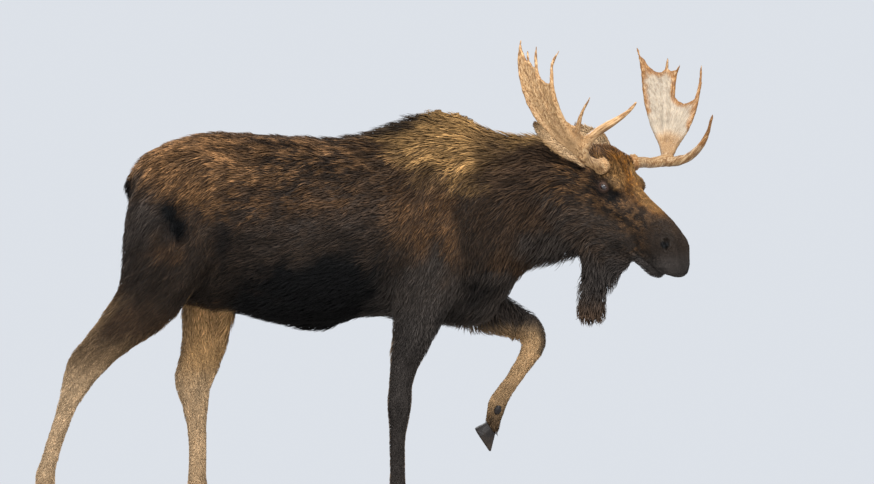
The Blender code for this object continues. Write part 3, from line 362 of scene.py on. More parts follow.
def coat_at(places):
    """The lie of the coat (world directions) and its length, width and depth in metres at each place."""
    views = (folded(places, beside_spine(places)), folded(to_head(places)), (places, 1.0))
    total = np.full(len(places), TINY)
    way = np.zeros_like(places)
    size = np.zeros((len(places), 3))
    for kind, at, reach, lie, sizes in zip(*GUIDES):
        here, side = views[kind]
        square = ((here - at) ** 2).sum(1)
        weight = np.exp(-GUIDE_FALL * square / (reach * reach)) + FAR_PULL / (FAR_SPREAD + square)
        toward = np.tile(lie, (len(places), 1))
        toward[:, 1] *= side
        if kind == 1:
            toward = toward @ HEAD_TURN.T
        total += weight
        way += weight[:, None] * toward
        size += weight[:, None] * sizes
    size /= total[:, None]
    return unit(way), size / 1000


# ---- skin ----

SKIN_VOXEL = 0.0125
OVERLAP = 0.0006  # growth that closes the thin cuts between the solids
INSET_STEPS = 5  # in which the skin sinks below the CAD surface, by the depth of the coat
SKIN_ROUNDING, INSET_ROUNDING = 14, 2
EAR_COAT = 0.0018
EAR_ROOT_LEAD = 0.030  # how far the root is led into the head
EYE_AT = np.array((-0.008, 0.093, 0.0))  # in the head's axes, on the left side
EYE_RADIUS = 0.0215
EYE_OUTWARD = unit(np.array([(0.24, 0.95, 0.10)]))[0]
EYE_SLANT = 15.0  # of the opening's long way above the line of the face
LID_HALF_LENGTH = 0.0180
LID_UPPER = 0.0122
LID_LOWER = 0.0104
LID_BARE = 0.0085  # width of the hairless rim
LID_CURVE = 0.62  # how full the arcs of the lids are
LID_THICKNESS = 0.0045
LID_THINNING = 0.0030  # at the edge
LID_EDGE = (-0.0003, 0.0016)  # from the skin of the lid to the bottom of the socket
LID_REACH = (0.036, 0.017)  # from the eye's middle: where the lids run out, and where they are whole
SOCKET_DEPTH = 0.0050
LID_FOLD = (0.0075, 0.0020, 0.0022)  # distance from the opening, half width, depth
EYE_HOLLOW = (0.034, -0.002, 0.010, 0.011, 0.0055)  # middle forward and up, half widths, depth
EYE_BAG = (0.030, 0.004, 0.0016)  # distance from the eye's middle, half width, depth
LID_LAYER = 0.05  # how far in and out of the ball's middle the skin belongs to the lids
EYE_LAYER = 0.06
NEAR_EYE, ON_LIDS = 0.055, 0.040  # where the skin is made finer, and finer again
HEAD_BOX = ((-0.17, -0.17, -0.27), (0.55, 0.17, 0.21))  # corners, in the head's axes
MUZZLE_BOX = ((0.27, -0.12, -0.28), (0.55, 0.12, 1.00))


def eye_axes():
    """Forward, up and outward directions of the left eye in the head's axes, as rows."""
    slant = math.radians(EYE_SLANT)
    forward = np.array((math.cos(slant), 0.0, math.sin(slant)))
    forward = forward - EYE_OUTWARD * forward.dot(EYE_OUTWARD)
    forward /= np.linalg.norm(forward)
    return np.array((forward, np.cross(EYE_OUTWARD, forward), EYE_OUTWARD))


def refine(mesh, chosen, steps=3):
    """Halve the faces whose middles are chosen, and even them out."""
    bm = bmesh.new()
    bm.from_mesh(mesh)
    middles = np.array([f.calc_center_median() for f in bm.faces])
    keep = chosen(middles)
    edges = {e for f, k in zip(bm.faces, keep) if k for e in f.edges}
    bmesh.ops.subdivide_edges(bm, edges=sorted(edges, key=lambda e: e.index), cuts=1, use_grid_fill=True)
    bmesh.ops.triangulate(bm, faces=[f for f in bm.faces if len(f.verts) > 4])
    bm.to_mesh(mesh)
    bm.free()
    places = places_of(mesh)
    share = chosen(places).astype(float)
    move_to(mesh, relax(places, edges_of(mesh), steps, share))


def on_head(places):
    return in_box(to_head(places), HEAD_BOX)


def on_face(places):
    """The muzzle, the mouth and round the eyes."""
    head = to_head(places)
    return in_box(head, MUZZLE_BOX) | (eye_distance(head) < NEAR_EYE)


def eye_distance(head):
    return np.linalg.norm(folded(head)[0] - EYE_AT, axis=1)


def on_lids(places):
    return eye_distance(to_head(places)) < ON_LIDS


def carve_eyes(head):
    """Lids round each eye: their edges lie on the ball, a fold over the upper one and a hollow in front."""
    here, side = folded(head)
    axes = eye_axes()
    u, v, w = ((here - EYE_AT) @ axes.T).T
    distance = np.hypot(u, v)
    limit = np.where(v > 0, LID_UPPER, LID_LOWER)
    opening = limit * np.clip(1 - (u / LID_HALF_LENGTH) ** 2, 0, None) ** LID_CURVE
    past_corner = LID_HALF_LENGTH - np.abs(u)
    inside = np.where(past_corner > 0, opening, past_corner) - np.abs(v)
    ball = np.sqrt(np.clip(EYE_RADIUS**2 - distance**2, 0, None))
    hood = np.sqrt(np.clip((EYE_RADIUS + LID_THICKNESS) ** 2 - distance**2, 0, None))
    level = hood - LID_THINNING * smoothstep(-LID_THICKNESS, 0.0, inside)
    level = level - (level - ball + SOCKET_DEPTH) * smoothstep(*LID_EDGE, inside)
    apart, width, depth = LID_FOLD
    level = level - depth * bell_curve(inside + apart, width) * smoothstep(-0.004, 0.008, v)
    on_lids_layer, on_eye_layer = np.abs(w) < LID_LAYER, np.abs(w) < EYE_LAYER
    w_new = w + smoothstep(*LID_REACH, distance) * on_lids_layer * (level - w)
    forward, up, long, high, depth = EYE_HOLLOW
    w_new = w_new - depth * bell_curve(u - forward, long) * bell_curve(v - up, high) * on_eye_layer
    apart, width, depth = EYE_BAG
    bag = bell_curve(distance - apart, width) * smoothstep(0.004, -0.012, v)
    w_new = w_new - depth * bag * on_lids_layer
    moved = EYE_AT + np.stack((u, v, w_new), 1) @ axes
    touched = (distance < 0.05) & on_eye_layer
    moved = np.where(touched[:, None], moved, here)
    moved[:, 1] *= side
    return moved


# Routes along the skin: (x, z) on the body, (along, up) in the head's axes on the head.
NOSTRIL = ((0.340, -0.010), (0.356, -0.008), (0.372, -0.018), (0.380, -0.036))
MOUTH = ((0.232, -0.156), (0.268, -0.149), (0.330, -0.1435), (0.405, -0.139))
MOUTH_DEPTH, MOUTH_WIDTH = 0.011, 0.0045
NOSTRIL_DEPTH, NOSTRIL_RIM = 0.020, 0.0022
NOSTRIL_WIDTH = (0.005, 0.014)  # at its ends and at its widest
NOSTRILS_APART = 0.03  # from the middle of the muzzle
FACE_MIDDLE, FACE_HALF_WIDTH, FACE_START = 0.012, 0.14, -0.16
BODY_SIDE = (0.05, 0.14)  # out from the spine: where the folds begin and where they are whole
BODY_END = -0.2  # along the head's own axis
LEGS_TOP = (0.90, 1.00)
# Folds and swellings: route, half width and depth (m).
BODY_FOLDS = (
    (((-0.628, 1.385), (-0.645, 1.310), (-0.628, 1.250)), 0.028, 0.032),  # hollow before the point of the hip
    (((-0.365, 1.275), (-0.462, 1.146), (-0.627, 0.985)), 0.022, 0.012),  # fold of the flank
    (((0.185, 1.450), (0.205, 1.250), (0.225, 1.060)), 0.035, 0.010),  # behind the shoulder
    (((0.690, 1.480), (0.640, 1.300), (0.610, 1.130)), 0.040, 0.009),  # before the shoulder
    (((-0.520, 1.600), (-0.430, 1.560), (-0.330, 1.500)), 0.050, 0.008),  # before the hip
)
BODY_SWELLS = (
    (((0.33, 1.60), (0.42, 1.42), (0.47, 1.24)), 0.060, 0.007),  # ridge of the shoulder blade
    (((-0.60, 1.575), (-0.52, 1.555)), 0.055, 0.010),  # point of the hip
    (((-0.76, 1.36), (-0.73, 1.12), (-0.75, 0.98)), 0.060, 0.006),  # hamstring
)
HEAD_FOLDS = (
    (((0.075, -0.052), (0.150, -0.072), (0.232, -0.112)), 0.016, 0.004),  # below the cheek bone
    (((0.285, 0.012), (0.305, -0.020), (0.312, -0.055)), 0.010, 0.0025),  # behind the nostril
    (((0.222, -0.118), (0.238, -0.150)), 0.012, 0.004),  # corner of the mouth
)
HEAD_SWELLS = (
    (((0.045, -0.035), (0.120, -0.050)), 0.018, 0.004),  # cheek bone
    (((-0.080, -0.060), (-0.040, -0.130)), 0.045, 0.005),  # jaw muscle
    (((0.250, -0.128), (0.330, -0.122), (0.400, -0.116)), 0.013, 0.004),  # edge of the upper lip
    (((0.270, -0.168), (0.365, -0.170)), 0.012, 0.004),  # lower lip
)


def beside_route(across, up, route):
    """Distance from a route of straight stretches, and the share of its length that is passed."""
    nearest = np.full(len(across), 9.0)
    passed = np.zeros(len(across))
    for i, ((x0, z0), (x1, z1)) in enumerate(zip(route, route[1:])):
        length = (x1 - x0) ** 2 + (z1 - z0) ** 2
        t = np.clip(((across - x0) * (x1 - x0) + (up - z0) * (z1 - z0)) / length, 0, 1)
        distance = np.hypot(across - x0 - t * (x1 - x0), up - z0 - t * (z1 - z0))
        closer = distance < nearest
        nearest = np.where(closer, distance, nearest)
        passed = np.where(closer, (i + t) / (len(route) - 1), passed)
    return nearest, passed


def pressed(across, up, folds, swells):
    """How far the folds press skin in and the swellings raise it."""
    push = np.zeros(len(across))
    for sign, routes in ((-1, folds), (1, swells)):
        for route, width, depth in routes:
            push += sign * depth * bell_curve(beside_route(across, up, route)[0], width)
    return push


def carve(places, triangles):
    """Press folds and hollows into the skin along its normals, and raise what stands out."""
    normals = normals_of(places, triangles)
    head = to_head(places)
    aside = np.abs(head[:, 1])
    on_side = smoothstep(*BODY_SIDE, np.abs(beside_spine(places))) * (head[:, 0] < BODY_END)
    above_legs = smoothstep(*LEGS_TOP, places[:, 2])
    push = pressed(places[:, 0], places[:, 2], BODY_FOLDS, BODY_SWELLS) * on_side * above_legs
    face = (aside > FACE_MIDDLE) & (aside < FACE_HALF_WIDTH) & (head[:, 0] > FACE_START)
    sideways = np.abs(normals @ HEAD_TURN[:, 1])
    push += pressed(head[:, 0], head[:, 2], HEAD_FOLDS, HEAD_SWELLS) * face * sideways
    distance = beside_route(head[:, 0], head[:, 2], MOUTH)[0]
    push -= MOUTH_DEPTH * bell_curve(distance, MOUTH_WIDTH) * (aside < FACE_HALF_WIDTH)
    distance, passed = beside_route(head[:, 0], head[:, 2], NOSTRIL)
    narrow, wide = NOSTRIL_WIDTH
    distance = distance / (narrow + (wide - narrow) * np.sin(np.pi * np.clip(passed, 0, 1) ** 0.6))
    nostril = smoothstep(1.15, 0.35, distance)
    rim = bell_curve(distance - 1.5, 0.55)
    push += (NOSTRIL_RIM * rim - NOSTRIL_DEPTH * nostril) * face * (aside > NOSTRILS_APART)
    return places + normals * push[:, None]


def ear_arrays(name):
    """A finer ear from its CAD node, thinner by the coat and with its root led into the head."""
    fine = modified(new_mesh("worker", *node_arrays([name])), "SUBSURF", levels=2)
    places, triangles = places_of(fine), triangles_of(fine)
    root, tip = ear_ends(name)
    along = (tip - root) / np.linalg.norm(tip - root)
    passed = (places - root) @ along
    places = places - normals_of(places, triangles) * EAR_COAT
    places = places - along * (EAR_ROOT_LEAD * smoothstep(0.03, 0.0, passed))[:, None]
    return places, triangles


def ear_ends(name):
    """Middle of an ear's root, which is nearest the middle of the head, and its tip."""
    places = places_of(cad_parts[name].data)
    far = np.linalg.norm(places - HEAD_CENTRE, axis=1)
    tip = places[far.argmax()]
    apart = np.linalg.norm(places - tip, axis=1)
    return places[apart > apart.max() * 0.97].mean(0), tip


def skin_mesh():
    """The body's skin: one mesh under the coat, finer on the head, with lids, nostrils, mouth and ears."""
    mesh = evened(*node_arrays(FLESH, OVERLAP), SKIN_VOXEL)
    move_to(mesh, relax(places_of(mesh), edges_of(mesh), SKIN_ROUNDING))
    refine(mesh, on_head)
    places = places_of(mesh)
    depth = coat_at(places)[1][:, 2:]
    for _ in range(INSET_STEPS):
        places = places - normals_of(places, triangles_of(mesh)) * depth / INSET_STEPS
        places = relax(places, edges_of(mesh), INSET_ROUNDING)
    move_to(mesh, places)
    refine(mesh, on_face)
    move_to(mesh, carve(places_of(mesh), triangles_of(mesh)))
    refine(mesh, on_lids, 2)
    places, triangles = from_head(carve_eyes(to_head(places_of(mesh)))), triangles_of(mesh)
    shells = [(places, triangles, np.zeros(len(places), int))]
    for i, name in enumerate(EARS):
        places, triangles = ear_arrays(name)
        shells.append((places, triangles, np.full(len(places), i + 1)))
    return joined(shells)


# ---- markings ----

SHADES = {
    "black": (0.004, 0.0045, 0.005),
    "soot": (0.018, 0.014, 0.012),
    "dark": (0.036, 0.024, 0.016),
    "slate": (0.072, 0.061, 0.054),
    "umber": (0.082, 0.047, 0.026),
    "rust": (0.210, 0.104, 0.042),
    "copper": (0.400, 0.205, 0.085),
    "gold": (0.600, 0.350, 0.130),
    "amber": (0.290, 0.112, 0.012),
    "tan": (0.420, 0.275, 0.145),
    "cream": (0.740, 0.530, 0.330),
    "honey": (0.780, 0.480, 0.230),
    "pale": (0.600, 0.410, 0.230),
    "skin": (0.105, 0.062, 0.044),
}
# Patches laid one over the other on the body: middle (x, out from the spine, z), reach, shade of the hair's
# root, shade of its tip, how much covers, and how far it breaks up into flecks.
BODY_MARKS = (
    ((0.06, 0.30, 1.36), (0.84, 0.40, 0.28), "soot", "umber", 0.85, 0.0),  # ribs and flank
    ((0.06, 0.30, 1.28), (0.70, 0.40, 0.20), "soot", "slate", 0.65, 0.5),
    ((-0.24, 0.30, 1.44), (0.44, 0.40, 0.12), "dark", "rust", 0.80, 1.0),
    ((0.44, 0.20, 1.40), (0.20, 0.40, 0.27), "dark", "rust", 0.90, 0.5),  # shoulder
    ((0.62, 0.20, 1.32), (0.10, 0.40, 0.24), "soot", "dark", 0.90, 0.0),
    ((-0.10, 0.16, 1.58), (0.45, 0.40, 0.15), "soot", "dark", 0.80, 0.0),  # back
    ((-0.20, 0.10, 1.64), (0.62, 0.40, 0.17), "dark", "copper", 0.60, 1.0),
    ((-0.60, 0.10, 1.57), (0.30, 0.40, 0.17), "dark", "copper", 1.00, 0.6),  # rump
    ((0.51, 0.14, 1.69), (0.28, 0.40, 0.18), "umber", "gold", 1.00, 0.3),  # hump
    ((0.18, 0.00, 1.76), (0.27, 0.13, 0.10), "black", "dark", 0.95, 0.0),  # stripe behind the hump
    ((-0.25, 0.00, 1.70), (0.40, 0.06, 0.06), "soot", "umber", 0.70, 0.3),
    ((0.38, 0.24, 1.50), (0.12, 0.30, 0.07), "soot", "umber", 0.70, 0.0),
    ((0.94, 0.10, 1.50), (0.20, 0.30, 0.14), "soot", "umber", 0.85, 0.0),  # side of the neck
    ((0.88, 0.10, 1.32), (0.25, 0.30, 0.16), "soot", "umber", 0.70, 0.3),
    ((0.84, 0.00, 1.72), (0.28, 0.15, 0.08), "dark", "gold", 0.85, 0.5),  # mane
    ((0.70, 0.16, 1.62), (0.07, 0.30, 0.10), "soot", "umber", 0.70, 0.3),
    ((0.72, 0.10, 1.05), (0.18, 0.30, 0.10), "black", "slate", 0.80, 0.0),  # chest
    ((0.96, 0.10, 1.22), (0.16, 0.30, 0.10), "dark", "slate", 0.95, 0.0),  # throat
    ((-0.04, 0.10, 1.10), (0.54, 0.50, 0.22), "soot", "dark", 0.75, 0.0),  # belly
    ((-0.02, 0.10, 0.98), (0.56, 0.50, 0.20), "black", "black", 0.95, 0.0),
    ((0.38, 0.20, 1.02), (0.15, 0.40, 0.18), "dark", "slate", 1.00, 0.0),  # elbow
    ((-0.80, 0.10, 1.30), (0.14, 0.40, 0.24), "soot", "slate", 0.85, 0.0),  # buttock
    ((-0.60, 0.24, 1.12), (0.24, 0.30, 0.22), "soot", "dark", 0.90, 0.0),  # thigh
    ((-0.66, 0.24, 1.21), (0.08, 0.30, 0.05), "umber", "rust", 0.35, 0.5),  # rubbed spot of the thigh
    # Painted shadow in the hollow of the hip, over dark hair: a soot ring and two black patches.
    ((-0.640, 0.26, 1.34), (0.060, 0.20, 0.095), "soot", "soot", 0.7, 0.0),  # hollow of the hip
    ((-0.652, 0.26, 1.37), (0.026, 0.20, 0.045), "black", "black", 1.00, 0.0),
    ((-0.622, 0.26, 1.31), (0.034, 0.20, 0.036), "black", "black", 1.00, 0.0),
    # Painted shade in the crease of the fold of the flank.
    ((-0.420, 0.26, 1.23), (0.035, 0.20, 0.100), "black", "soot", 0.80, 0.0),  # fold of the flank
    ((-0.86, 0.00, 1.48), (0.06, 0.20, 0.09), "black", "soot", 1.00, 0.0),  # tail
)
# The same on the head: along the face, out, up.
HEAD_MARKS = (
    ((0.05, 0.00, -0.10), (0.34, 0.30, 0.18), "soot", "dark", 0.90, 0.0),  # cheeks
    ((0.05, 0.00, -0.10), (0.34, 0.30, 0.18), "dark", "copper", 0.55, 1.0),
    ((0.02, 0.05, -0.20), (0.24, 0.20, 0.10), "dark", "slate", 0.75, 0.0),  # jaw
    ((0.08, 0.00, 0.09), (0.23, 0.100, 0.080), "umber", "amber", 1.00, 0.50),  # forehead, bridge of the nose
    ((-0.01, 0.08, 0.05), (0.07, 0.06, 0.040), "rust", "gold", 0.60, 0.6),  # brow
    ((0.15, 0.00, 0.06), (0.09, 0.050, 0.040), "rust", "gold", 0.50, 0.4),
    ((-0.16, 0.00, 0.12), (0.07, 0.12, 0.07), "dark", "rust", 0.70, 0.6),  # poll
    ((0.38, 0.00, -0.05), (0.16, 0.20, 0.14), "soot", "dark", 0.95, 0.0),  # muzzle
    ((0.32, 0.00, -0.18), (0.13, 0.20, 0.05), "black", "soot", 0.90, 0.0),  # chin
    ((0.000, 0.10, -0.005), (0.048, 0.06, 0.042), "soot", "soot", 0.80, 0.0),  # round the eye
    ((-0.008, 0.10, 0.000), (0.028, 0.06, 0.025), "skin", "skin", 0.95, 0.0),  # lids
    # Painted shadow in the hollow before the eye, under the brow ridge.
    ((0.050, 0.10, -0.004), (0.020, 0.06, 0.028), "black", "black", 0.90, 0.0),  # hollow before the eye
    ((0.360, 0.10, -0.020), (0.022, 0.08, 0.022), "black", "black", 0.95, 0.0),  # nostril
)
# On the legs, one after the other: which legs, which side of them, the heights where the patch begins and
# where it covers whole, shades of root and tip, how much covers.
LEG_MARKS = (
    ("fore", "all", (1.05, 0.90), "soot", "slate", 1.00),
    ("fore", "inner", (0.95, 0.82), "tan", "honey", 0.95),
    ("fore", "inner", (0.78, 0.60), "umber", "tan", 0.55),
    ("lifted", "all", (0.60, 0.50), "dark", "umber", 0.75),
    ("hind", "inner", (1.14, 1.00), "gold", "honey", 0.95),
    ("hind", "outer", (1.02, 0.86), "dark", "umber", 0.80),
    ("hind", "back", (1.06, 0.94), "umber", "tan", 0.85),
    ("hind", "outer half", (0.90, 0.72), "umber", "tan", 0.90),
    ("hind", "all", (0.78, 0.62), "tan", "cream", 0.85),
    ("fore", "ahead", (1.00, 0.90), "soot", "slate", 0.80),
    ("hind", "all", (0.20, 0.13), "umber", "umber", 0.70),
)
LEG_TOP = 1.16
FORE_X, LIFTED_X, HIND_X = 0.16, 0.50, -0.36  # where the legs stand
KNEE_ABOVE = 0.78  # the lifted leg's lower part has no dark front
HEAD_BACK, HEAD_UNDER = (-0.26, -0.16), (-0.26, -0.22)  # along and up: where its patches begin and are whole
HEAD_LOWEST = 1.0
BELL_X = 0.98  # the bell hangs before this
BELL_TOP, BELL_TIP = (1.22, 1.14), (1.08, 0.92)
SPECKLE = 0.30  # how unevenly the patches meet
BODY_EDGE, HEAD_EDGE = (1.35, 0.65), (1.30, 0.70)  # a patch's fade, as shares of its reach
HEAD_SPECKLE = 0.9


def noise(places, size, seed=0):
    """Smooth random values from -1 to 1 over cells of the given size."""
    scaled = places / size + seed * 17.31
    cell = np.floor(scaled).astype(np.int64)
    part = scaled - cell
    part = part * part * (3 - 2 * part)
    total = np.zeros(len(places))
    for corner in np.ndindex(2, 2, 2):
        at = cell + corner
        mixed = (at[:, 0] * 73856093) ^ (at[:, 1] * 19349663) ^ (at[:, 2] * 83492791) ^ (seed * 2654435761)
        mixed = (mixed ^ (mixed >> 13)) * 1274126177 & 0x7FFFFFFF
        value = ((mixed ^ (mixed >> 16)) & 0xFFFF) / 32767.5 - 1
        share = np.prod(np.where(np.array(corner), part, 1 - part), axis=1)
        total += share * value
    return total


def flecks_of(places, size, fine, share, seed):
    """Where flecks show: noise of two sizes, with sharp edges."""
    return smoothstep(-0.25, 0.35, noise(places, size, seed) + share * noise(places, fine, seed + 1))


def markings(places, normals):
    """Colours of the hair's root and tip at each place of the skin."""
    root = np.tile(np.array(SHADES["dark"]), (len(places), 1))
    tip = np.tile(np.array(SHADES["umber"]), (len(places), 1))
    body, side = folded(places, beside_spine(places))
    head = folded(to_head(places))[0]
    x, _, z = places.T
    rough = SPECKLE * (noise(places, 0.09, 3) + 0.7 * noise(places, 0.035, 4))

    def cover(share, root_shade, tip_shade):
        root[:] += share[:, None] * (np.array(SHADES[root_shade]) - root)
        tip[:] += share[:, None] * (np.array(SHADES[tip_shade]) - tip)

    def lay_patches(marks, here, edge, ragged, flecked, on):
        for middle, reach, root_shade, tip_shade, amount, flecks in marks:
            distance = np.linalg.norm((here - middle) / reach, axis=1)
            share = on * amount * (1 - flecks + flecks * flecked)
            cover(share * smoothstep(*edge, distance + ragged), root_shade, tip_shade)

    lay_patches(BODY_MARKS, body, BODY_EDGE, rough, flecks_of(places, 0.024, 0.011, 0.8, 9), 1)
    level = z + 0.05 * rough
    inner = smoothstep(-0.35, 0.45, -side * normals[:, 1])
    legs = {"fore": x > FORE_X, "lifted": x > LIFTED_X, "hind": x < HIND_X}
    sides = {
        "all": 1,
        "inner": inner,
        "outer": 1 - inner,
        "outer half": 1 - 0.7 * inner,
        "back": smoothstep(0.2, 0.8, -normals[:, 0]),
        "ahead": smoothstep(0.1, 0.8, np.maximum(normals[:, 0], normals[:, 2]) * (z > KNEE_ABOVE)),
    }
    for leg, part, heights, root_shade, tip_shade, amount in LEG_MARKS:
        share = (z < LEG_TOP) * legs[leg] * sides[part] * smoothstep(*heights, level)
        cover(share * amount, root_shade, tip_shade)
    on = smoothstep(*HEAD_BACK, head[:, 0]) * smoothstep(*HEAD_UNDER, head[:, 2]) * (z > HEAD_LOWEST)
    flecked = flecks_of(places, 0.014, 0.006, 0.6, 11)
    lay_patches(HEAD_MARKS, head, HEAD_EDGE, HEAD_SPECKLE * rough, flecked, on)
    bell = (x > BELL_X) * smoothstep(*BELL_TOP, z)
    cover(bell * 0.95, "soot", "slate")
    cover(bell * smoothstep(*BELL_TIP, z) * 0.45, "umber", "rust")
    return root, tip


# ---- coat ----

COVERS = ((0.008, 0.75), (0.030, 1.25), (0.090, 2.4))  # how many locks of a length lie over each other
LONG_LOCK = 0.034  # longer locks have one ring more
LIE_SWIRL = 0.34  # radians that the lie wanders over the body, and from lock to lock
LOCK_SWIRL = 0.15
FLARE = 0.24  # how far the hair of the bell spreads
ROOT_DEPTH = 0.0012
PATCH = 0.003  # side of a lock's patch on the map for baking
MAP_WIDTH = 3.2  # in lengths of the model
MAP_COLUMN, MAP_ROW, MAP_EDGE = 0.33, 0.5, (0.01, 0.02)
EAR_HAIR = (0.015, 0.0024, 0.0028)  # length, width and depth outside
CUP_HAIR = (0.022, 0.0026, 0.0055)  # the same in the cup
EAR_MEAN_HAIR = (0.020, 0.0024, 0.005)
EYE_CLEAR, NOSTRIL_BARE, MOUTH_BARE = 0.06, 0.011, 0.0028  # distances from eye, nostril and mouth
SOLE_TOP, SOLE_SLOPE = 0.20, -0.75
SPACING = 0.62  # share of a lock's length and width that it covers
RING_WIDTHS = (0.70, 1.0, 0.66)  # of a lock, from its root
LOCK_THICKNESS = 0.8
# Painted shade deep in the coat: a lock is painted darker towards its root.
ROOT_PAINTED_SHADE = 0.45  # how much darker a lock is at its root
LENGTHS, HEIGHTS, WIDTHS = (0.75, 0.50), (0.45, 0.60), (0.70, 0.60)  # least share, and what chance adds
RISE_CURVE = 1.7  # how soon a lock rises off the skin
STEP_KEPT, HEADING_KEPT = 0.8, 0.9  # share of the way off the skin that stays from ring to ring
WILD, TAME_EARS = 0.6, 0.4  # how uneven the coat is low on the body and on the ears
WILD_TOP = (1.30, 1.55)  # heights over which that grows to one
STREAKS = (  # of light and dark along the coat: amount, width, length, seed
    (0.85, 0.009, 0.05, 7),
    (0.50, 0.030, 0.10, 8),
)
SHORT_STEPS, LONG_STEPS = (0.0, 0.45, 1.0), (0.0, 0.3, 0.65, 1.0)  # places of a lock's rings
COAT_PARTS = (  # name of a part of the coat and its slot; each has a right and a left piece
    ("ear", "ear_fur"),
    ("head", "coat_brown"),
    ("neck", "coat_brown"),
    ("forequarter", "coat_brown"),
    ("trunk", "coat_dark"),
    ("hindquarter", "coat_brown"),
    ("foreleg", "coat_black"),
    ("hindleg", "coat_tan"),
)


def sample(places, triangles, density, random):
    """Random points on a mesh, so many to the square metre: the faces that hold them and their shares."""
    area = np.linalg.norm(face_normals(places, triangles), axis=1) / 2
    passed = np.cumsum(area * density)
    count = int(passed[-1])
    picks = (np.arange(count) + random.random(count)) * passed[-1] / count
    face = np.searchsorted(passed, picks).clip(0, len(area) - 1)
    r, s = random.random((2, count))
    flip = r + s > 1
    r, s = np.where(flip, 1 - r, r), np.where(flip, 1 - s, s)
    return face, np.stack((1 - r - s, r, s), 1)


def turned(vectors, axes, angle):
    """Vectors turned about unit axes that are square to them."""
    return vectors * np.cos(angle)[:, None] + np.cross(axes, vectors) * np.sin(angle)[:, None]


def along_skin(way, normals, stand):
    """Lay directions along the skin; a share of what points out of it stays."""
    rise = (way * normals).sum(1)
    return unit(way + (np.where(rise > 0, stand * rise, 0) - rise)[:, None] * normals)


def ear_lie(name, places, normals):
    """On an ear: the lie, sizes and two shades of its hair, pale and long in the cup and on the rim."""
    root, tip = ear_ends(name)
    along = tip - root
    length = np.linalg.norm(along)
    along = along / length
    facing = (root + tip) / 2 - places_of(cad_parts[name].data).mean(0)
    facing -= along * facing.dot(along)
    facing /= np.linalg.norm(facing)
    across = np.cross(along, facing)
    aside = (places - (root + tip) / 2) @ across
    passed = (places - root) @ along / length
    inside = smoothstep(-0.1, 0.35, normals @ facing)[:, None]
    rim = smoothstep(0.55, 0.95, np.abs(aside) / np.abs(aside).max())[:, None]
    way = along + 0.5 * rim * np.sign(aside)[:, None] * across + 0.35 * inside * facing
    sizes = np.array(EAR_HAIR) * (1 - inside) + np.array(CUP_HAIR) * inside
    sizes = sizes * (1 + 0.10 * rim)
    pale, dark = np.array(SHADES["pale"]), (np.array(SHADES["umber"]) + SHADES["rust"]) / 2
    lining = inside * (1 - 0.75 * rim) * smoothstep(1.0, 0.8, passed)[:, None]
    shade = dark + lining * (pale - dark)
    fringe = rim * (np.array(SHADES["gold"]) - shade)
    return unit(way), sizes, shade * 0.8, shade * 1.2 + 0.45 * fringe


def coat_field(places, normals, part):
    """The lie, sizes and shades (root and tip) of the hair everywhere on the skin."""
    way, sizes = coat_at(places)
    root, tip = markings(places, normals)
    for i, name in enumerate(EARS):
        on = part == i + 1
        if on.any():
            way[on], sizes[on], root[on], tip[on] = ear_lie(name, places[on], normals[on])
    flare = FLARE * (places[:, 0] > BELL_X) * smoothstep(1.20, 1.00, places[:, 2])
    way = unit(way + flare[:, None] * normals)
    return along_skin(way, normals, 0.35 + 0.65 * (flare > 0)), sizes, root, tip


def streaks(places, way, size, reach, seed):
    """Noise drawn out along the lie of the coat."""
    steps = np.linspace(-0.5, 0.5, 5) * reach
    return sum(noise(places + way * step, size, seed) for step in steps) / 2.6


def bare(places, normals):
    """Where no hair grows: eyes, nostrils, the slit of the mouth, the antlers' roots and the soles."""
    head = to_head(places)
    aside = np.abs(head[:, 1])
    u, v, _ = ((folded(head)[0] - EYE_AT) @ eye_axes().T).T
    in_lids = np.hypot(u / (LID_HALF_LENGTH + LID_BARE), v / (LID_UPPER + LID_BARE)) < 1
    eye = (eye_distance(head) < EYE_CLEAR) & in_lids
    mouth = (beside_route(head[:, 0], head[:, 2], MOUTH)[0] < MOUTH_BARE) & (aside < FACE_HALF_WIDTH)
    nostril = beside_route(head[:, 0], head[:, 2], NOSTRIL)[0] < NOSTRIL_BARE
    nostril &= (aside > NOSTRILS_APART) & (aside < FACE_HALF_WIDTH)
    sole = (normals[:, 2] < SOLE_SLOPE) & (places[:, 2] < SOLE_TOP)
    return eye | nostril | mouth | sole


def region_of(places, part):
    """Which coat piece the hair at each place belongs to."""
    head = to_head(places)
    x, _, z = places.T
    region = np.full(len(places), 4)
    region[x > 0.17] = 3
    region[x > 0.66] = 2
    region[x < -0.40] = 5
    region[(z < 1.02) & (x > 0.17) & (x < 0.96)] = 6
    region[(z < 1.06) & (x < -0.40)] = 7
    region[(head[:, 0] > -0.155) & (x > 0.95) & (head[:, 2] > -0.24)] = 1
    region[part > 0] = 0
    return region


def uneven(spread, count, random):
    """Random shares: at least the first, and up to the second more."""
    least, more = spread
    return least + more * random.random(count)


def lock_routes(roots, normals, way, sizes, stand, steps, tree, random):
    """Middles and outward directions of each lock's rings, which follow the skin and rise off it."""
    length = sizes[:, 0] * uneven(LENGTHS, len(roots), random)
    height = sizes[:, 2] * uneven(HEIGHTS, len(roots), random) * stand
    middles = [roots - normals * ROOT_DEPTH]
    ups = [normals]
    base, up, heading = roots, normals, way
    for before, now in zip(steps, steps[1:]):
        ahead = base + heading * (length * (now - before))[:, None]
        found = [tree.find_nearest(p) for p in ahead.tolist()]
        near = np.array([f[0][:] for f in found])
        up = np.array([f[1][:] for f in found])
        away = np.clip(((ahead - near) * up).sum(1), 0, None)[:, None]
        base = near + STEP_KEPT * away * up
        middles.append(base + up * (height * (1 - (1 - now) ** RISE_CURVE))[:, None])
        ups.append(up)
        heading = along_skin(heading, up, HEADING_KEPT)
    return middles, ups


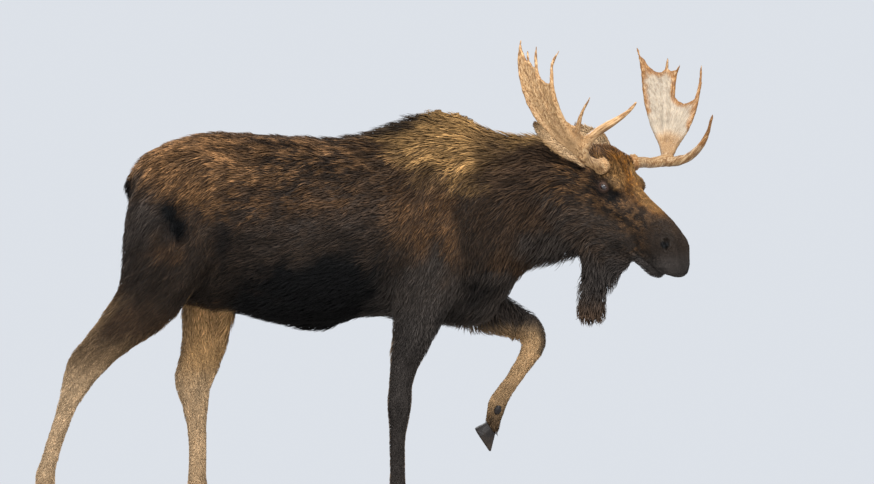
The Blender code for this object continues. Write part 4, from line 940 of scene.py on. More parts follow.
def unwrapped(places, normals):
    """Places on a map of the skin: six views along the axes side by side, each kept to scale."""
    axis = np.abs(normals).argmax(1)
    toward = np.take_along_axis(normals, axis[:, None], 1)[:, 0] > 0
    rows = np.arange(len(places))
    span = np.ptp(places, axis=0).max() * MAP_WIDTH
    low = places.min(0)
    across = (places - low)[rows, (axis + 1) % 3] / span
    up = (places - low)[rows, (axis + 2) % 3] / span
    return np.stack((across + MAP_EDGE[0] + axis * MAP_COLUMN, up + MAP_EDGE[1] + toward * MAP_ROW), 1)


def lock_mesh(middles, ups, width, root, tip, places_on_map, random):
    """Closed three-sided locks through the rings' middles, flat side down, each ending in a point."""
    count, rings = len(middles[0]), len(middles) - 1
    per = 3 * rings + 1
    places = np.empty((count, per, 3))
    passed = np.ones(per)
    for r in range(rings):
        ahead = unit(middles[r + 1] - middles[max(r - 1, 0)])
        across = unit(np.cross(ahead, ups[r]))
        half = (width * RING_WIDTHS[r] / 2)[:, None]
        places[:, 3 * r] = middles[r] - across * half
        places[:, 3 * r + 1] = middles[r] + across * half
        places[:, 3 * r + 2] = middles[r] + np.cross(across, ahead) * half * LOCK_THICKNESS
        passed[3 * r : 3 * r + 3] = r / rings
    places[:, -1] = middles[-1]
    pattern = [(0, 2, 1)]
    for r in range(rings - 1):
        for i in range(3):
            a, b = 3 * r + i, 3 * r + (i + 1) % 3
            pattern += [(a, b, b + 3), (a, b + 3, a + 3)]
    last = 3 * (rings - 1)
    pattern += [(last + i, last + (i + 1) % 3, per - 1) for i in range(3)]
    triangles = (np.arange(count)[:, None, None] * per + np.array(pattern)).reshape(-1, 3)
    blend = (passed**1.1)[None, :, None]
    shade = (0.70 + 0.60 * random.random(count))[:, None, None]
    # painted shade: darker towards each lock's root
    shade = shade * (1 - ROOT_PAINTED_SHADE * (1 - passed[None, :, None]) ** 2)
    colour = (root[:, None] * (1 - blend) + tip[:, None] * blend) * shade
    spread = np.stack((np.tile((0.0, 1.0, 0.5), rings + 1)[:per], passed), 1) - 0.5
    spread[-1, 0] = 0
    uv = places_on_map[:, None] + spread * PATCH
    return places.reshape(-1, 3), triangles, colour.reshape(-1, 3), uv.reshape(-1, 2)


def coat_piece(name, roots, normals, field, tree, random):
    """One piece of the coat: every lock that grows from the roots given."""
    way, sizes, root, tip = field
    wild = WILD + (1 - WILD) * smoothstep(*WILD_TOP, roots[:, 2])
    if name.startswith("coat_ear"):
        wild = TAME_EARS
    swirl = wild * LIE_SWIRL * noise(roots, 0.055, 5) + LOCK_SWIRL * random.standard_normal(len(roots))
    way = turned(way, normals, swirl)
    stand = 0.85 + 0.45 * noise(roots, 0.04, 6)
    streaky = sum(amount * streaks(roots, way, *pattern) for amount, *pattern in STREAKS)
    shade = np.exp(wild * streaky)[:, None]
    # The roots are painted darker still: painted shade deep in the coat, less on short hair.
    root = root * np.minimum(shade, 1.2) * (0.7 + 0.25 * smoothstep(0.030, 0.015, sizes[:, :1]))
    tip = tip * shade
    on_map = unwrapped(roots, normals)
    parts = []
    for long, steps in ((False, SHORT_STEPS), (True, LONG_STEPS)):
        on = (sizes[:, 0] > LONG_LOCK) == long
        if not on.any():
            continue
        middles, ups = lock_routes(roots[on], normals[on], way[on], sizes[on], stand[on], steps, tree, random)
        width = sizes[on, 1] * uneven(WIDTHS, on.sum(), random)
        parts.append(lock_mesh(middles, ups, width, root[on], tip[on], on_map[on], random))
    places, triangles, colour, uv = joined(parts)
    mesh = new_mesh(name, places, triangles)
    paint(mesh, "coat", colour)
    mesh.uv_layers.new(name="OFBake").data.foreach_set("uv", uv[triangles.ravel()].astype(np.float32).ravel())
    return mesh


def grow_coat(places, triangles, part, cover, seed):
    """Grow hair all over the skin: the name, slot and mesh of each piece."""
    random = np.random.default_rng(seed)
    tree = BVHTree.FromPolygons(places.tolist(), triangles.tolist())
    middles = places[triangles].mean(1)
    sizes = coat_at(middles)[1]
    on_ear = part[triangles[:, 0]] > 0
    sizes[on_ear] = EAR_MEAN_HAIR
    lengths, covers = zip(*COVERS)
    density = cover * np.interp(sizes[:, 0], lengths, covers) / (SPACING * sizes[:, 0] * sizes[:, 1])
    face, shares = sample(places, triangles, density, random)
    normals = normals_of(places, triangles)
    roots = (places[triangles[face]] * shares[:, :, None]).sum(1)
    ups = unit((normals[triangles[face]] * shares[:, :, None]).sum(1))
    keep = ~bare(roots, ups)
    roots, ups, labels = roots[keep], ups[keep], part[triangles[face[keep], 0]]
    field = coat_field(roots, ups, labels)
    region = region_of(roots, labels)
    left = beside_spine(roots) > 0
    for i, (part_name, slot) in enumerate(COAT_PARTS):
        for side, on_side in (("right", ~left), ("left", left)):
            on = (region == i) & on_side
            name = f"coat_{part_name}_{side}"
            yield name, slot, coat_piece(name, roots[on], ups[on], [f[on] for f in field], tree, random)


# ---- materials ----

def new_material(name, roughness=0.6, **sockets):
    """A principled material; what is the same all over is set on its own sockets."""
    material = bpy.data.materials.new(name)
    material.use_nodes = True
    shader = material.node_tree.nodes["Principled BSDF"]
    shader.inputs["Roughness"].default_value = roughness
    for label, value in sockets.items():
        shader.inputs[label.replace("_", " ")].default_value = value
    return material, material.node_tree, shader


def add_node(tree, kind, links=(), **settings):
    """Add a node: settings are its own properties, links its inputs with a value or another's output."""
    node = tree.nodes.new(kind)
    for label, value in settings.items():
        setattr(node, label, value)
    for socket, value in dict(links).items():
        if isinstance(value, bpy.types.NodeSocket):
            tree.links.new(value, node.inputs[socket])
        else:
            node.inputs[socket].default_value = value
    return node


def object_noise(tree, scale, detail=2.0, stretch=(1.0, 1.0, 1.0)):
    """Noise on the piece's own coordinates, drawn out along an axis by a stretch below one."""
    place = add_node(tree, "ShaderNodeTexCoord").outputs["Object"]
    mapped = add_node(tree, "ShaderNodeMapping", {"Vector": place, "Scale": stretch}).outputs["Vector"]
    links = {"Vector": mapped, "Scale": scale, "Detail": detail}
    return add_node(tree, "ShaderNodeTexNoise", links).outputs["Fac"]


def ranged(tree, value, low, high, new_low, new_high):
    settings = {"Value": value, "From Min": low, "From Max": high, "To Min": new_low, "To Max": new_high}
    return add_node(tree, "ShaderNodeMapRange", settings).outputs["Result"]


def shaded(tree, colour, factor):
    """A colour made lighter or darker by a factor."""
    node = add_node(tree, "ShaderNodeVectorMath", {0: colour, 1: factor}, operation="MULTIPLY")
    return node.outputs["Vector"]


def mixed(tree, factor, first, second):
    node = add_node(tree, "ShaderNodeMix", {0: factor, 6: first, 7: second}, data_type="RGBA")
    return node.outputs[2]


def bumped(tree, shader, height, strength, distance):
    bump = add_node(tree, "ShaderNodeBump", {"Height": height, "Strength": strength, "Distance": distance})
    tree.links.new(bump.outputs["Normal"], shader.inputs["Normal"])


def own(tree, name, output="Color"):
    """A colour, vector or value of the piece's own points."""
    return add_node(tree, "ShaderNodeAttribute", attribute_name=name).outputs[output]


def coloured(tree, shader, colour, pattern, low, high):
    """Give the shader a colour that a pattern makes lighter and darker."""
    varied = shaded(tree, colour, ranged(tree, pattern, 0.3, 0.7, low, high))
    tree.links.new(varied, shader.inputs["Base Color"])


def roughened(tree, shader, pattern, low, high):
    tree.links.new(ranged(tree, pattern, 0.3, 0.7, low, high), shader.inputs["Roughness"])


def coat_material():
    """Hair: the locks' own shades broken up by fine strands, with a soft sheen."""
    sheen = {"Sheen_Weight": 0.015, "Sheen_Roughness": 0.4}
    material, tree, shader = new_material("coat_hair", 0.55, Specular_IOR_Level=0.07, **sheen)
    strands = object_noise(tree, 700, 3)
    coloured(tree, shader, own(tree, "coat"), strands, 0.72, 1.28)
    bumped(tree, shader, strands, 0.5, 0.0006)
    return material


def skin_material():
    """The short under-hair and the bare skin of nose, lips and lids."""
    material, tree, shader = new_material("skin_hide", 0.62, Specular_IOR_Level=0.12)
    fine, coarse = object_noise(tree, 900, 3), object_noise(tree, 160, 2)
    coloured(tree, shader, own(tree, "skin"), coarse, 0.8, 1.2)
    roughened(tree, shader, coarse, 0.50, 0.75)
    bumped(tree, shader, fine, 0.6, 0.0008)
    return material


def antler_material():
    """Hard bone with veins that run out along the palm and the tines, fine grain and small pits."""
    material, tree, shader = new_material("antler_bone", 0.5, Specular_IOR_Level=0.3)
    stain, grain, pits = object_noise(tree, 22, 4), object_noise(tree, 420, 3), object_noise(tree, 130, 2)
    pattern = {"Vector": own(tree, "lie", "Vector"), "Scale": 150.0, "Detail": 3.0, "Roughness": 0.6}
    veins = add_node(tree, "ShaderNodeTexNoise", pattern).outputs["Fac"]
    veined = own(tree, "veined", "Fac")
    colour = own(tree, "antler")
    for low, high, most, line in ((0.53, 0.64, 0.55, ANTLER_LINES), (0.50, 0.41, 0.85, ANTLER_BROWN)):
        amounts = {0: ranged(tree, veins, low, high, 0.0, most), 1: veined}
        share = add_node(tree, "ShaderNodeMath", amounts, operation="MULTIPLY").outputs[0]
        colour = mixed(tree, share, colour, (*line, 1.0))
    colour = shaded(tree, colour, ranged(tree, stain, 0.3, 0.7, 0.82, 1.16))
    coloured(tree, shader, colour, grain, 0.88, 1.10)
    roughened(tree, shader, pits, 0.40, 0.62)
    both = add_node(tree, "ShaderNodeMath", {0: grain, 1: pits}, operation="ADD").outputs[0]
    bumped(tree, shader, both, 0.35, 0.0007)
    return material


def eye_material():
    """A wet dark eyeball."""
    wet = {"Coat_Weight": 1.0, "Coat_Roughness": 0.02}
    material, tree, shader = new_material("eye_gloss", 0.04, Specular_IOR_Level=0.6, **wet)
    coloured(tree, shader, own(tree, "eye"), object_noise(tree, 500, 2), 0.75, 1.25)
    return material


def hoof_material():
    """Dark horn with fine lines and a dull shine, worn lighter near the edge."""
    material, tree, shader = new_material("hoof_horn", 0.45, Specular_IOR_Level=0.2)
    lines, scuffs = object_noise(tree, 260, 3, (1.0, 1.0, 0.15)), object_noise(tree, 60, 3)
    coloured(tree, shader, own(tree, "hoof"), lines, 0.75, 1.3)
    roughened(tree, shader, scuffs, 0.34, 0.60)
    bumped(tree, shader, lines, 0.4, 0.0006)
    return material


def lash_material():
    material, tree, shader = new_material("lash_hair", 0.5)
    shade = ranged(tree, object_noise(tree, 300), 0.3, 0.7, 0.008, 0.020)
    tree.links.new(shade, shader.inputs["Base Color"])
    return material


def stand_material(colour):
    """Brushed satin paint on the display base, a little scuffed."""
    material, tree, shader = new_material("stand_paint", 0.5, Specular_IOR_Level=0.4)
    brushed, cloud = object_noise(tree, 90, 3, (0.04, 1.0, 1.0)), object_noise(tree, 3, 3)
    coloured(tree, shader, colour, cloud, 0.95, 1.04)
    roughened(tree, shader, cloud, 0.42, 0.58)
    bumped(tree, shader, brushed, 0.18, 0.0008)
    return material


def floor_material():
    material, tree, shader = new_material("studio_floor", 0.85)
    cloud = ranged(tree, object_noise(tree, 2, 2), 0.3, 0.7, 0.48, 0.51)
    tree.links.new(cloud, shader.inputs["Base Color"])
    return material


# ---- antlers ----

ANTLER_VOXEL = 0.0034
ANTLER_ROUNDING = 12
GROOVE_DEPTH = 0.0012
ANTLER_TAN = (0.450, 0.265, 0.118)
ANTLER_PALE = (0.340, 0.295, 0.230)
ANTLER_LINES = (0.640, 0.450, 0.260)
ANTLER_BROWN = (0.160, 0.072, 0.026)
ANTLER_AMBER = (0.255, 0.112, 0.028)
EDGE_BLUR = 12  # steps of blurring that find the thin edges
EDGE_BEND = 0.90  # length that is left of a blurred normal at a rim
EDGE_WIDTH = (0.026, 0.003)  # from a rim: where its amber ends and where it is whole
EDGE_SHARE = {"right": 0.30, "left": 1.0}
PALM_PALE = {"right": 0.45, "left": 0.90}
# Painted shade: the far (left) antler's beam and tines are painted darker, as if in shade; its palm is not.
BEAM_PAINTED_SHADE = {"right": 1.0, "left": 0.68}
VEIN_FAN, VEIN_FADE = 0.34, 0.05  # how the veins fan out from the palm's root, and change along their way
STEM_VEINS = 0.92  # how far they are drawn out along the beam and the brow tine
PALM_REACH, PALM_HEIGHT = (0.05, 0.12), (1.60, 1.70)  # where the palm begins and is whole
BURR_STAIN, STAIN_REACH = 0.25, (0.17, 0.10)
PEDICLE_LENGTH = 0.028
PEDICLE_WIDTH, PEDICLE_TAPER = 0.06, 0.18
BURR_RING_RADIUS = 0.0315
KNOB_RADIUS = 0.0056
KNOB_COUNT = 24
KNOB_STRAY = 0.002
BURR_INSET, BURR_RISE, BURR_SHADE = 0.92, 0.003, 0.75  # ring over root, height above it, colour over bone
KNOB_SIZES = (0.65, 0.65, 0.8), (1.2, 1.2, 1.5)


FLAT = 0.999  # how alike the directions of a flat face are
ANTLER_PARTS = ("beam", "palm", "brow_tine")


def antler_nodes(side):
    return [f"antler_{side}_{part}" for part in ANTLER_PARTS]


def long_and_thin_way(places):
    """The directions in which places reach farthest and least far."""
    ways = np.linalg.svd(places - places.mean(0), full_matrices=False)[2]
    return ways[0], ways[2]


def antler_root(side):
    """Middle of the flat face where an antler meets the head, the way out of it and its radius."""
    places, triangles = node_arrays([f"antler_{side}_beam"])
    faces = face_normals(places, triangles)
    ways = unit(faces)
    inward = ((HEAD_CENTRE - places[triangles[:, 0]]) * ways).sum(1) > 0
    shared = ((ways @ ways.T > FLAT) * np.linalg.norm(faces, axis=1)).sum(1) * inward
    way = ways[shared.argmax()]
    rim = places[np.unique(triangles[ways @ way > FLAT])]
    middle = (rim.min(0) + rim.max(0)) / 2
    return middle, -way, np.linalg.norm(rim - middle, axis=1).max()


def distances_to(targets, places):
    """How far each place is from the nearest of the targets."""
    tree = KDTree(len(targets))
    for i, target in enumerate(targets):
        tree.insert(target, i)
    tree.balance()
    return np.array([tree.find(place)[2] for place in places])


def veins_along(places, side, root):
    """Coordinates for an antler's veins, drawn out from the palm's root or along the beam and brow tine."""
    beam, palm, brow_tine = (places_of(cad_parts[name].data) for name in antler_nodes(side))
    away = places - root
    lie = unit(away) * VEIN_FAN + away * VEIN_FADE
    from_palm = distances_to(palm, places)
    for stem in (beam, brow_tine):
        axis = long_and_thin_way(stem)[0]
        along_stem = away - STEM_VEINS * (away @ axis)[:, None] * axis
        share = smoothstep(-0.005, 0.015, from_palm - distances_to(stem, places))[:, None]
        lie += share * (along_stem - lie)
    return lie


def antler_mesh(side):
    """One antler grown together, with grooves that run out from the root of the palm."""
    mesh = evened(*node_arrays(antler_nodes(side), 2 * OVERLAP), ANTLER_VOXEL)
    ends, triangles = edges_of(mesh), triangles_of(mesh)
    places = relax(places_of(mesh), ends, ANTLER_ROUNDING)
    middle, outward, _ = antler_root(side)
    from_middle = places - middle
    level = (from_middle @ outward)[:, None]
    lead = smoothstep(0.006, -0.001, level) * (np.linalg.norm(from_middle, axis=1) < PEDICLE_WIDTH)[:, None]
    places = places - lead * (PEDICLE_LENGTH * outward + PEDICLE_TAPER * (from_middle - level * outward))
    palm = places_of(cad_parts[f"antler_{side}_palm"].data)
    root = palm[np.linalg.norm(palm - HEAD_CENTRE, axis=1).argmin()]
    across_palm = long_and_thin_way(palm)[1]
    lie = veins_along(places, side, root)
    grooves = noise(lie, 0.013, 21) + 0.8 * noise(lie, 0.006, 22)
    normals = normals_of(places, triangles)
    bend = np.linalg.norm(relax(normals, ends, EDGE_BLUR, keep_volume=False), axis=1)
    from_rim = distances_to(places[bend < EDGE_BEND], places) + 0.010 * noise(places, 0.02, 23)
    reach = np.linalg.norm(places - root, axis=1)
    edge = smoothstep(*EDGE_WIDTH, from_rim) * smoothstep(0.02, 0.10, reach)
    places = places + normals * (GROOVE_DEPTH * grooves)[:, None]
    inner = normals @ (across_palm * np.sign(across_palm @ (HEAD_CENTRE - root)))
    on_palm = smoothstep(*PALM_REACH, reach) * smoothstep(*PALM_HEIGHT, places[:, 2])
    pale = on_palm * smoothstep(0.1, 0.6, inner)
    stained = BURR_STAIN * smoothstep(*STAIN_REACH, np.linalg.norm(places - HEAD_CENTRE, axis=1))
    # painted shade on the far antler's beam and tines; the palm keeps its colour
    strength = BEAM_PAINTED_SHADE[side] + (1.0 - BEAM_PAINTED_SHADE[side]) * on_palm
    colour = np.array(ANTLER_TAN) * strength[:, None]
    shares = (pale * PALM_PALE[side], edge * EDGE_SHARE[side], stained)
    for share, shade in zip(shares, (ANTLER_PALE, ANTLER_AMBER, ANTLER_BROWN)):
        colour += share[:, None] * (np.array(shade) - colour)
    finished = new_mesh(f"antler_{side}", places, triangles)
    paint(finished, "antler", colour)
    label_points(finished, "lie", "FLOAT_VECTOR", lie)
    label_points(finished, "veined", "FLOAT", 1 - 0.6 * pale * (1 - edge))
    return finished


def new_tree(name, inputs, on_mesh=False):
    """A Geometry Nodes tree and what its inputs give; with on_mesh it starts from a mesh."""
    tree = bpy.data.node_groups.new(name, "GeometryNodeTree")
    sockets = tree.interface
    if on_mesh:
        sockets.new_socket("Geometry", in_out="INPUT", socket_type="NodeSocketGeometry")
    for label, kind, value in inputs:
        sockets.new_socket(label, in_out="INPUT", socket_type=kind).default_value = value
    sockets.new_socket("Geometry", in_out="OUTPUT", socket_type="NodeSocketGeometry")
    return tree, tree.nodes.new("NodeGroupInput").outputs


def random_vector(tree, low, high, seed):
    ends = {0: low, 1: high, "Seed": seed}
    return add_node(tree, "FunctionNodeRandomValue", ends, data_type="FLOAT_VECTOR").outputs[0]


def knob_tree(material):
    """Geometry Nodes: knobs of uneven size round a ring."""
    inputs = (
        ("Ring radius", "NodeSocketFloat", BURR_RING_RADIUS),
        ("Knob radius", "NodeSocketFloat", KNOB_RADIUS),
        ("Knobs", "NodeSocketInt", KNOB_COUNT),
        ("Seed", "NodeSocketInt", 1),
    )
    tree, given = new_tree("burr_knobs", inputs)
    circle = {"Vertices": given["Knobs"], "Radius": given["Ring radius"]}
    ring = add_node(tree, "GeometryNodeMeshCircle", circle).outputs["Mesh"]
    stray = random_vector(tree, (-KNOB_STRAY,) * 3, (KNOB_STRAY,) * 3, given["Seed"])
    moved = {"Geometry": ring, "Offset": stray}
    spread = add_node(tree, "GeometryNodeSetPosition", moved).outputs["Geometry"]
    ball = {"Radius": given["Knob radius"], "Subdivisions": 3}
    knob = add_node(tree, "GeometryNodeMeshIcoSphere", ball).outputs["Mesh"]
    size = random_vector(tree, *KNOB_SIZES, given["Seed"])
    copies = {"Points": spread, "Instance": knob, "Scale": size}
    finish_tree(tree, add_node(tree, "GeometryNodeInstanceOnPoints", copies).outputs["Instances"], material)
    return tree


def finish_tree(tree, instances, material):
    whole = add_node(tree, "GeometryNodeRealizeInstances", {"Geometry": instances}).outputs["Geometry"]
    smooth = add_node(tree, "GeometryNodeSetShadeSmooth", {"Geometry": whole}).outputs["Geometry"]
    dressed = add_node(tree, "GeometryNodeSetMaterial", {"Geometry": smooth, "Material": material})
    tree.links.new(dressed.outputs["Geometry"], tree.nodes.new("NodeGroupOutput").inputs[0])


def grown(tree, settings, base=None):
    """The plain mesh that a Geometry Nodes tree makes with the named settings."""
    sockets = [s for s in tree.interface.items_tree if s.item_type == "SOCKET" and s.in_out == "INPUT"]
    inputs = {s.identifier: settings[s.name] for s in sockets if s.name in settings}
    return modified(base or bpy.data.meshes.new("worker"), "NODES", inputs, node_group=tree)


# ---- eyes ----

IRIS_ANGLE = 33.0
IRIS_BLUR, CORNEA_BLUR = 3, 6  # degrees
CORNEA_RISE = 0.0013
PUPIL = (0.0072, 0.0036)  # half length and half height
EYE_SHADES = {"rim": (0.055, 0.018, 0.012), "iris": (0.020, 0.011, 0.007), "pupil": (0.004, 0.005, 0.010)}
LASH_LENGTH = 0.015
LASH_COUNT = 30
LASH_RADIUS = 0.00055
LASH_SPREAD = 0.93  # share of the lid that has lashes
LASH_FAN = 22  # how they turn apart along the lid
LASH_WAY = (0.25, -0.15, 1.0)  # forward, up and outward
LASH_ROOT = 0.0030  # above the ball


def eye_mesh(name, sign, iris):
    """An eyeball with a clear bulge over its iris and a level pupil."""
    mesh = made(name, bmesh.ops.create_uvsphere, u_segments=96, v_segments=64, radius=1.0)
    ray = places_of(mesh)
    u, v, w = (ray @ eye_axes().T).T
    angle = np.degrees(np.arccos(np.clip(w, -1, 1)))
    bulge = CORNEA_RISE * smoothstep(IRIS_ANGLE + CORNEA_BLUR, 0, angle)
    on_iris = smoothstep(IRIS_ANGLE + IRIS_BLUR, IRIS_ANGLE - IRIS_BLUR, angle)[:, None]
    pupil = smoothstep(1.15, 0.85, np.hypot(u * EYE_RADIUS / PUPIL[0], v * EYE_RADIUS / PUPIL[1]))[:, None]
    pupil = pupil * (w > 0)[:, None]
    colour = np.array(EYE_SHADES["rim"]) * (1 - on_iris) + np.array(iris) * on_iris
    colour = colour * (1 - pupil) + np.array(EYE_SHADES["pupil"]) * pupil
    places = EYE_AT + ray * (EYE_RADIUS + bulge)[:, None]
    places[:, 1] *= sign
    triangles = triangles_of(mesh)
    finished = new_mesh(name, from_head(places), triangles if sign > 0 else triangles[:, ::-1])
    paint(finished, "eye", colour)
    return finished


def lash_tree(material):
    """Geometry Nodes: a lash on every point of a lid's edge, turned the way the point's direction says."""
    inputs = (("Length", "NodeSocketFloat", LASH_LENGTH), ("Seed", "NodeSocketInt", 1))
    tree, given = new_tree("lid_lashes", inputs, on_mesh=True)
    cone = {"Vertices": 5, "Side Segments": 3, "Radius Top": 0.0, "Radius Bottom": LASH_RADIUS}
    lash = add_node(tree, "GeometryNodeMeshCone", {**cone, "Depth": given["Length"]}).outputs["Mesh"]
    named = add_node(tree, "GeometryNodeInputNamedAttribute", {"Name": "way"}, data_type="FLOAT_VECTOR")
    way = {"Vector": named.outputs[0]}
    turn = add_node(tree, "FunctionNodeAlignRotationToVector", way, axis="Z").outputs["Rotation"]
    sizes = {2: 0.7, 3: 1.15, "Seed": given["Seed"]}
    size = add_node(tree, "FunctionNodeRandomValue", sizes, data_type="FLOAT").outputs[1]
    copies = {"Points": given["Geometry"], "Instance": lash, "Rotation": turn, "Scale": size}
    finish_tree(tree, add_node(tree, "GeometryNodeInstanceOnPoints", copies).outputs["Instances"], material)
    return tree


def lid_points(sign):
    """Points along the edge of an upper lid, and the way that its lashes point there."""
    u = np.linspace(-LASH_SPREAD, LASH_SPREAD, LASH_COUNT) * LID_HALF_LENGTH
    v = LID_UPPER * (1 - (u / LID_HALF_LENGTH) ** 2) ** LID_CURVE
    w = np.sqrt((EYE_RADIUS + LASH_ROOT) ** 2 - u * u - v * v)
    way = np.tile(LASH_WAY, (len(u), 1))
    way[:, 0] += u * LASH_FAN
    axes = eye_axes()
    places = EYE_AT + np.stack((u, v, w), 1) @ axes
    way = unit(way @ axes)
    places[:, 1] *= sign
    way[:, 1] *= sign
    mesh = bpy.data.meshes.new("lid_edge")
    mesh.vertices.add(len(u))
    move_to(mesh, from_head(places))
    label_points(mesh, "way", "FLOAT_VECTOR", (way @ HEAD_TURN.T).astype(np.float32))
    return mesh


# ---- hooves ----

HOOF_VOXEL = 0.0022
HOOF_ROUNDING = 16
DEWCLAW_GROWTH = 0.0035
CORONET_TAPER = 0.24  # how much narrower a claw is at its top than its solid
RING_SPACING = 0.0055
RING_DEPTH = 0.0005
WORN = 0.6  # how light the edge is worn
HORN = (0.016, 0.013, 0.012)
HORN_WORN = (0.060, 0.044, 0.032)


def hoof_nodes(foot):
    return [f"{foot}_{part}_{side}" for part in ("claw", "dewclaw") for side in ("left", "right")]


def hoof_mesh(foot):
    """A foot's two claws and two dewclaws, rounded off and ringed with growth."""
    top, low = leg_axis(f"{foot}_pastern")
    down = (low - top) / np.linalg.norm(low - top)
    shells = []
    for node in hoof_nodes(foot):
        is_claw = "dewclaw" not in node
        places, triangles = node_arrays([node], 0.0 if is_claw else DEWCLAW_GROWTH)
        level = (places - places.mean(0)) @ down
        across = places - places.mean(0) - level[:, None] * down
        if is_claw:
            taper = CORONET_TAPER * smoothstep(0.5, 0.0, (level - level.min()) / np.ptp(level))
            places = places - taper[:, None] * across
        shells.append((places, triangles))
    mesh = evened(*joined(shells), HOOF_VOXEL)
    places, triangles = relax(places_of(mesh), edges_of(mesh), HOOF_ROUNDING), triangles_of(mesh)
    normals = normals_of(places, triangles)
    level = (places - low) @ down + 0.0015 * noise(places, 0.02, 31)
    sides = smoothstep(0.75, 0.45, np.abs(normals @ down))
    rings = np.sin(level * 2 * np.pi / RING_SPACING)
    places = places + normals * (RING_DEPTH * rings * sides)[:, None]
    worn = WORN * smoothstep(0.2, 1.0, level / level.max() + 0.25 * noise(places, 0.015, 32))[:, None]
    mesh = new_mesh(f"hooves_{foot}", places, triangles)
    paint(mesh, "hoof", np.array(HORN) * (1 - worn) + np.array(HORN_WORN) * worn)
    return mesh


# ---- stage ----

FLOOR_RADIUS = 5.2
LIGHTS = (  # name, place, size, share of the key's power
    ("key", (1.5, -4.0, 5.5), 4.0, 1.0),
    ("fill", (-3.5, -5.0, 3.0), 4.0, 0.31),
    ("rim", (-2.0, 4.0, 5.0), 3.0, 0.38),
)
LIGHTS_AIM = (0.3, 0.0, 1.0)
SKY_POWER = 0.9
LENS, SENSOR_WIDTH, FARTHEST = 300, 36, 200  # mm, mm, m
CAMERA_AT = (0.446, -30.35, 1.30)
CAMERA_AIM = (0.446, 0.0, 1.242)


def aim(thing, at, target):
    thing.location = at
    thing.rotation_euler = (Vector(target) - Vector(at)).to_track_quat("-Z", "Y").to_euler()


# ---- add-on ----

bl_info = {
    "name": "Museum moose",
    "version": (1, 0, 0),
    "blender": (4, 5, 0),
    "location": "3D View > Sidebar > Moose",
    "description": "Dresses the walking bull moose: skin, coat, antlers, eyes, hooves, stand and studio",
    "category": "Add Mesh",
}


class CoatSettings(bpy.types.PropertyGroup):
    cover: bpy.props.FloatProperty(
        name="Cover", description="How thickly the locks lie", default=1.0, min=0.1
    )
    seed: bpy.props.IntProperty(name="Seed", description="Which of the many ways the locks fall", default=11)


class AntlerSettings(bpy.types.PropertyGroup):
    knobs: bpy.props.IntProperty(name="Knobs", description="Knobs round each burr", default=KNOB_COUNT, min=3)
    knob_radius: bpy.props.FloatProperty(
        name="Knob radius", description="Size of a knob of the burr", default=KNOB_RADIUS, unit="LENGTH"
    )


class EyeSettings(bpy.types.PropertyGroup):
    iris: bpy.props.FloatVectorProperty(
        name="Iris", description="Colour of the iris", default=EYE_SHADES["iris"], subtype="COLOR",
        min=0, max=1,
    )
    lash_length: bpy.props.FloatProperty(
        name="Lashes", description="Length of the longest lashes", default=LASH_LENGTH, unit="LENGTH"
    )


class StageSettings(bpy.types.PropertyGroup):
    paint: bpy.props.FloatVectorProperty(
        name="Base paint", description="Colour of the display base", default=(0.26, 0.24, 0.21),
        subtype="COLOR", min=0, max=1,
    )
    key_power: bpy.props.FloatProperty(
        name="Key light", description="Power of the main light", default=520.0, unit="POWER"
    )
    sky: bpy.props.FloatVectorProperty(
        name="Surroundings", description="Colour of the light all round", default=(0.80, 0.84, 0.90),
        subtype="COLOR", min=0, max=1,
    )


class MOOSE_OT_skin(bpy.types.Operator):
    """Make the skin with its folds, lids, nostrils, mouth and ears"""

    bl_idname = "moose.skin"
    bl_label = "Skin"

    def execute(self, context):
        places, triangles, part = skin_mesh()
        mesh = new_mesh("skin", places, triangles)
        normals = normals_of(places, triangles)
        way, _, root, tip = coat_field(places, normals, part)
        shade = np.exp(0.4 * streaks(places, way, 0.016, 0.05, 7))[:, None]
        paint(mesh, "skin", (0.65 * root + 0.35 * tip) * shade * 0.8)
        label_points(mesh, "part", "INT", part.astype(np.int32))
        add_piece("skin", mesh, skin_material(), "coat_brown", (*FLESH, *EARS))
        return {"FINISHED"}


class MOOSE_OT_coat(bpy.types.Operator):
    """Grow the coat, lock by lock, over the whole skin"""

    bl_idname = "moose.coat"
    bl_label = "Coat"

    def execute(self, context):
        settings = context.scene.moose_coat
        skin = bpy.data.objects["skin"].data
        part = np.empty(len(skin.vertices), np.int32)
        skin.attributes["part"].data.foreach_get("value", part)
        hair = coat_material()
        given = (places_of(skin), triangles_of(skin), part, settings.cover, settings.seed)
        for name, slot, mesh in grow_coat(*given):
            add_piece(name, mesh, hair, slot)
        return {"FINISHED"}


class MOOSE_OT_antlers(bpy.types.Operator):
    """Make both antlers with their grooves and burrs"""

    bl_idname = "moose.antlers"
    bl_label = "Antlers"

    def execute(self, context):
        settings = context.scene.moose_antlers
        bone = antler_material()
        tree = knob_tree(bone)
        for seed, side in enumerate(("right", "left"), 1):
            add_piece(f"antler_{side}", antler_mesh(side), bone, "antler", antler_nodes(side))
            middle, outward, radius = antler_root(side)
            turn = Vector(outward).to_track_quat("Z", "Y").to_matrix().to_4x4()
            sizes = {"Ring radius": radius * BURR_INSET, "Knob radius": settings.knob_radius}
            knobs = grown(tree, {**sizes, "Knobs": settings.knobs, "Seed": seed})
            knobs.transform(Matrix.Translation(middle + outward * BURR_RISE) @ turn)
            paint(knobs, "antler", np.tile(np.array(ANTLER_TAN) * BURR_SHADE, (len(knobs.vertices), 1)))
            add_piece(f"burr_{side}", knobs, None, "antler")
        return {"FINISHED"}


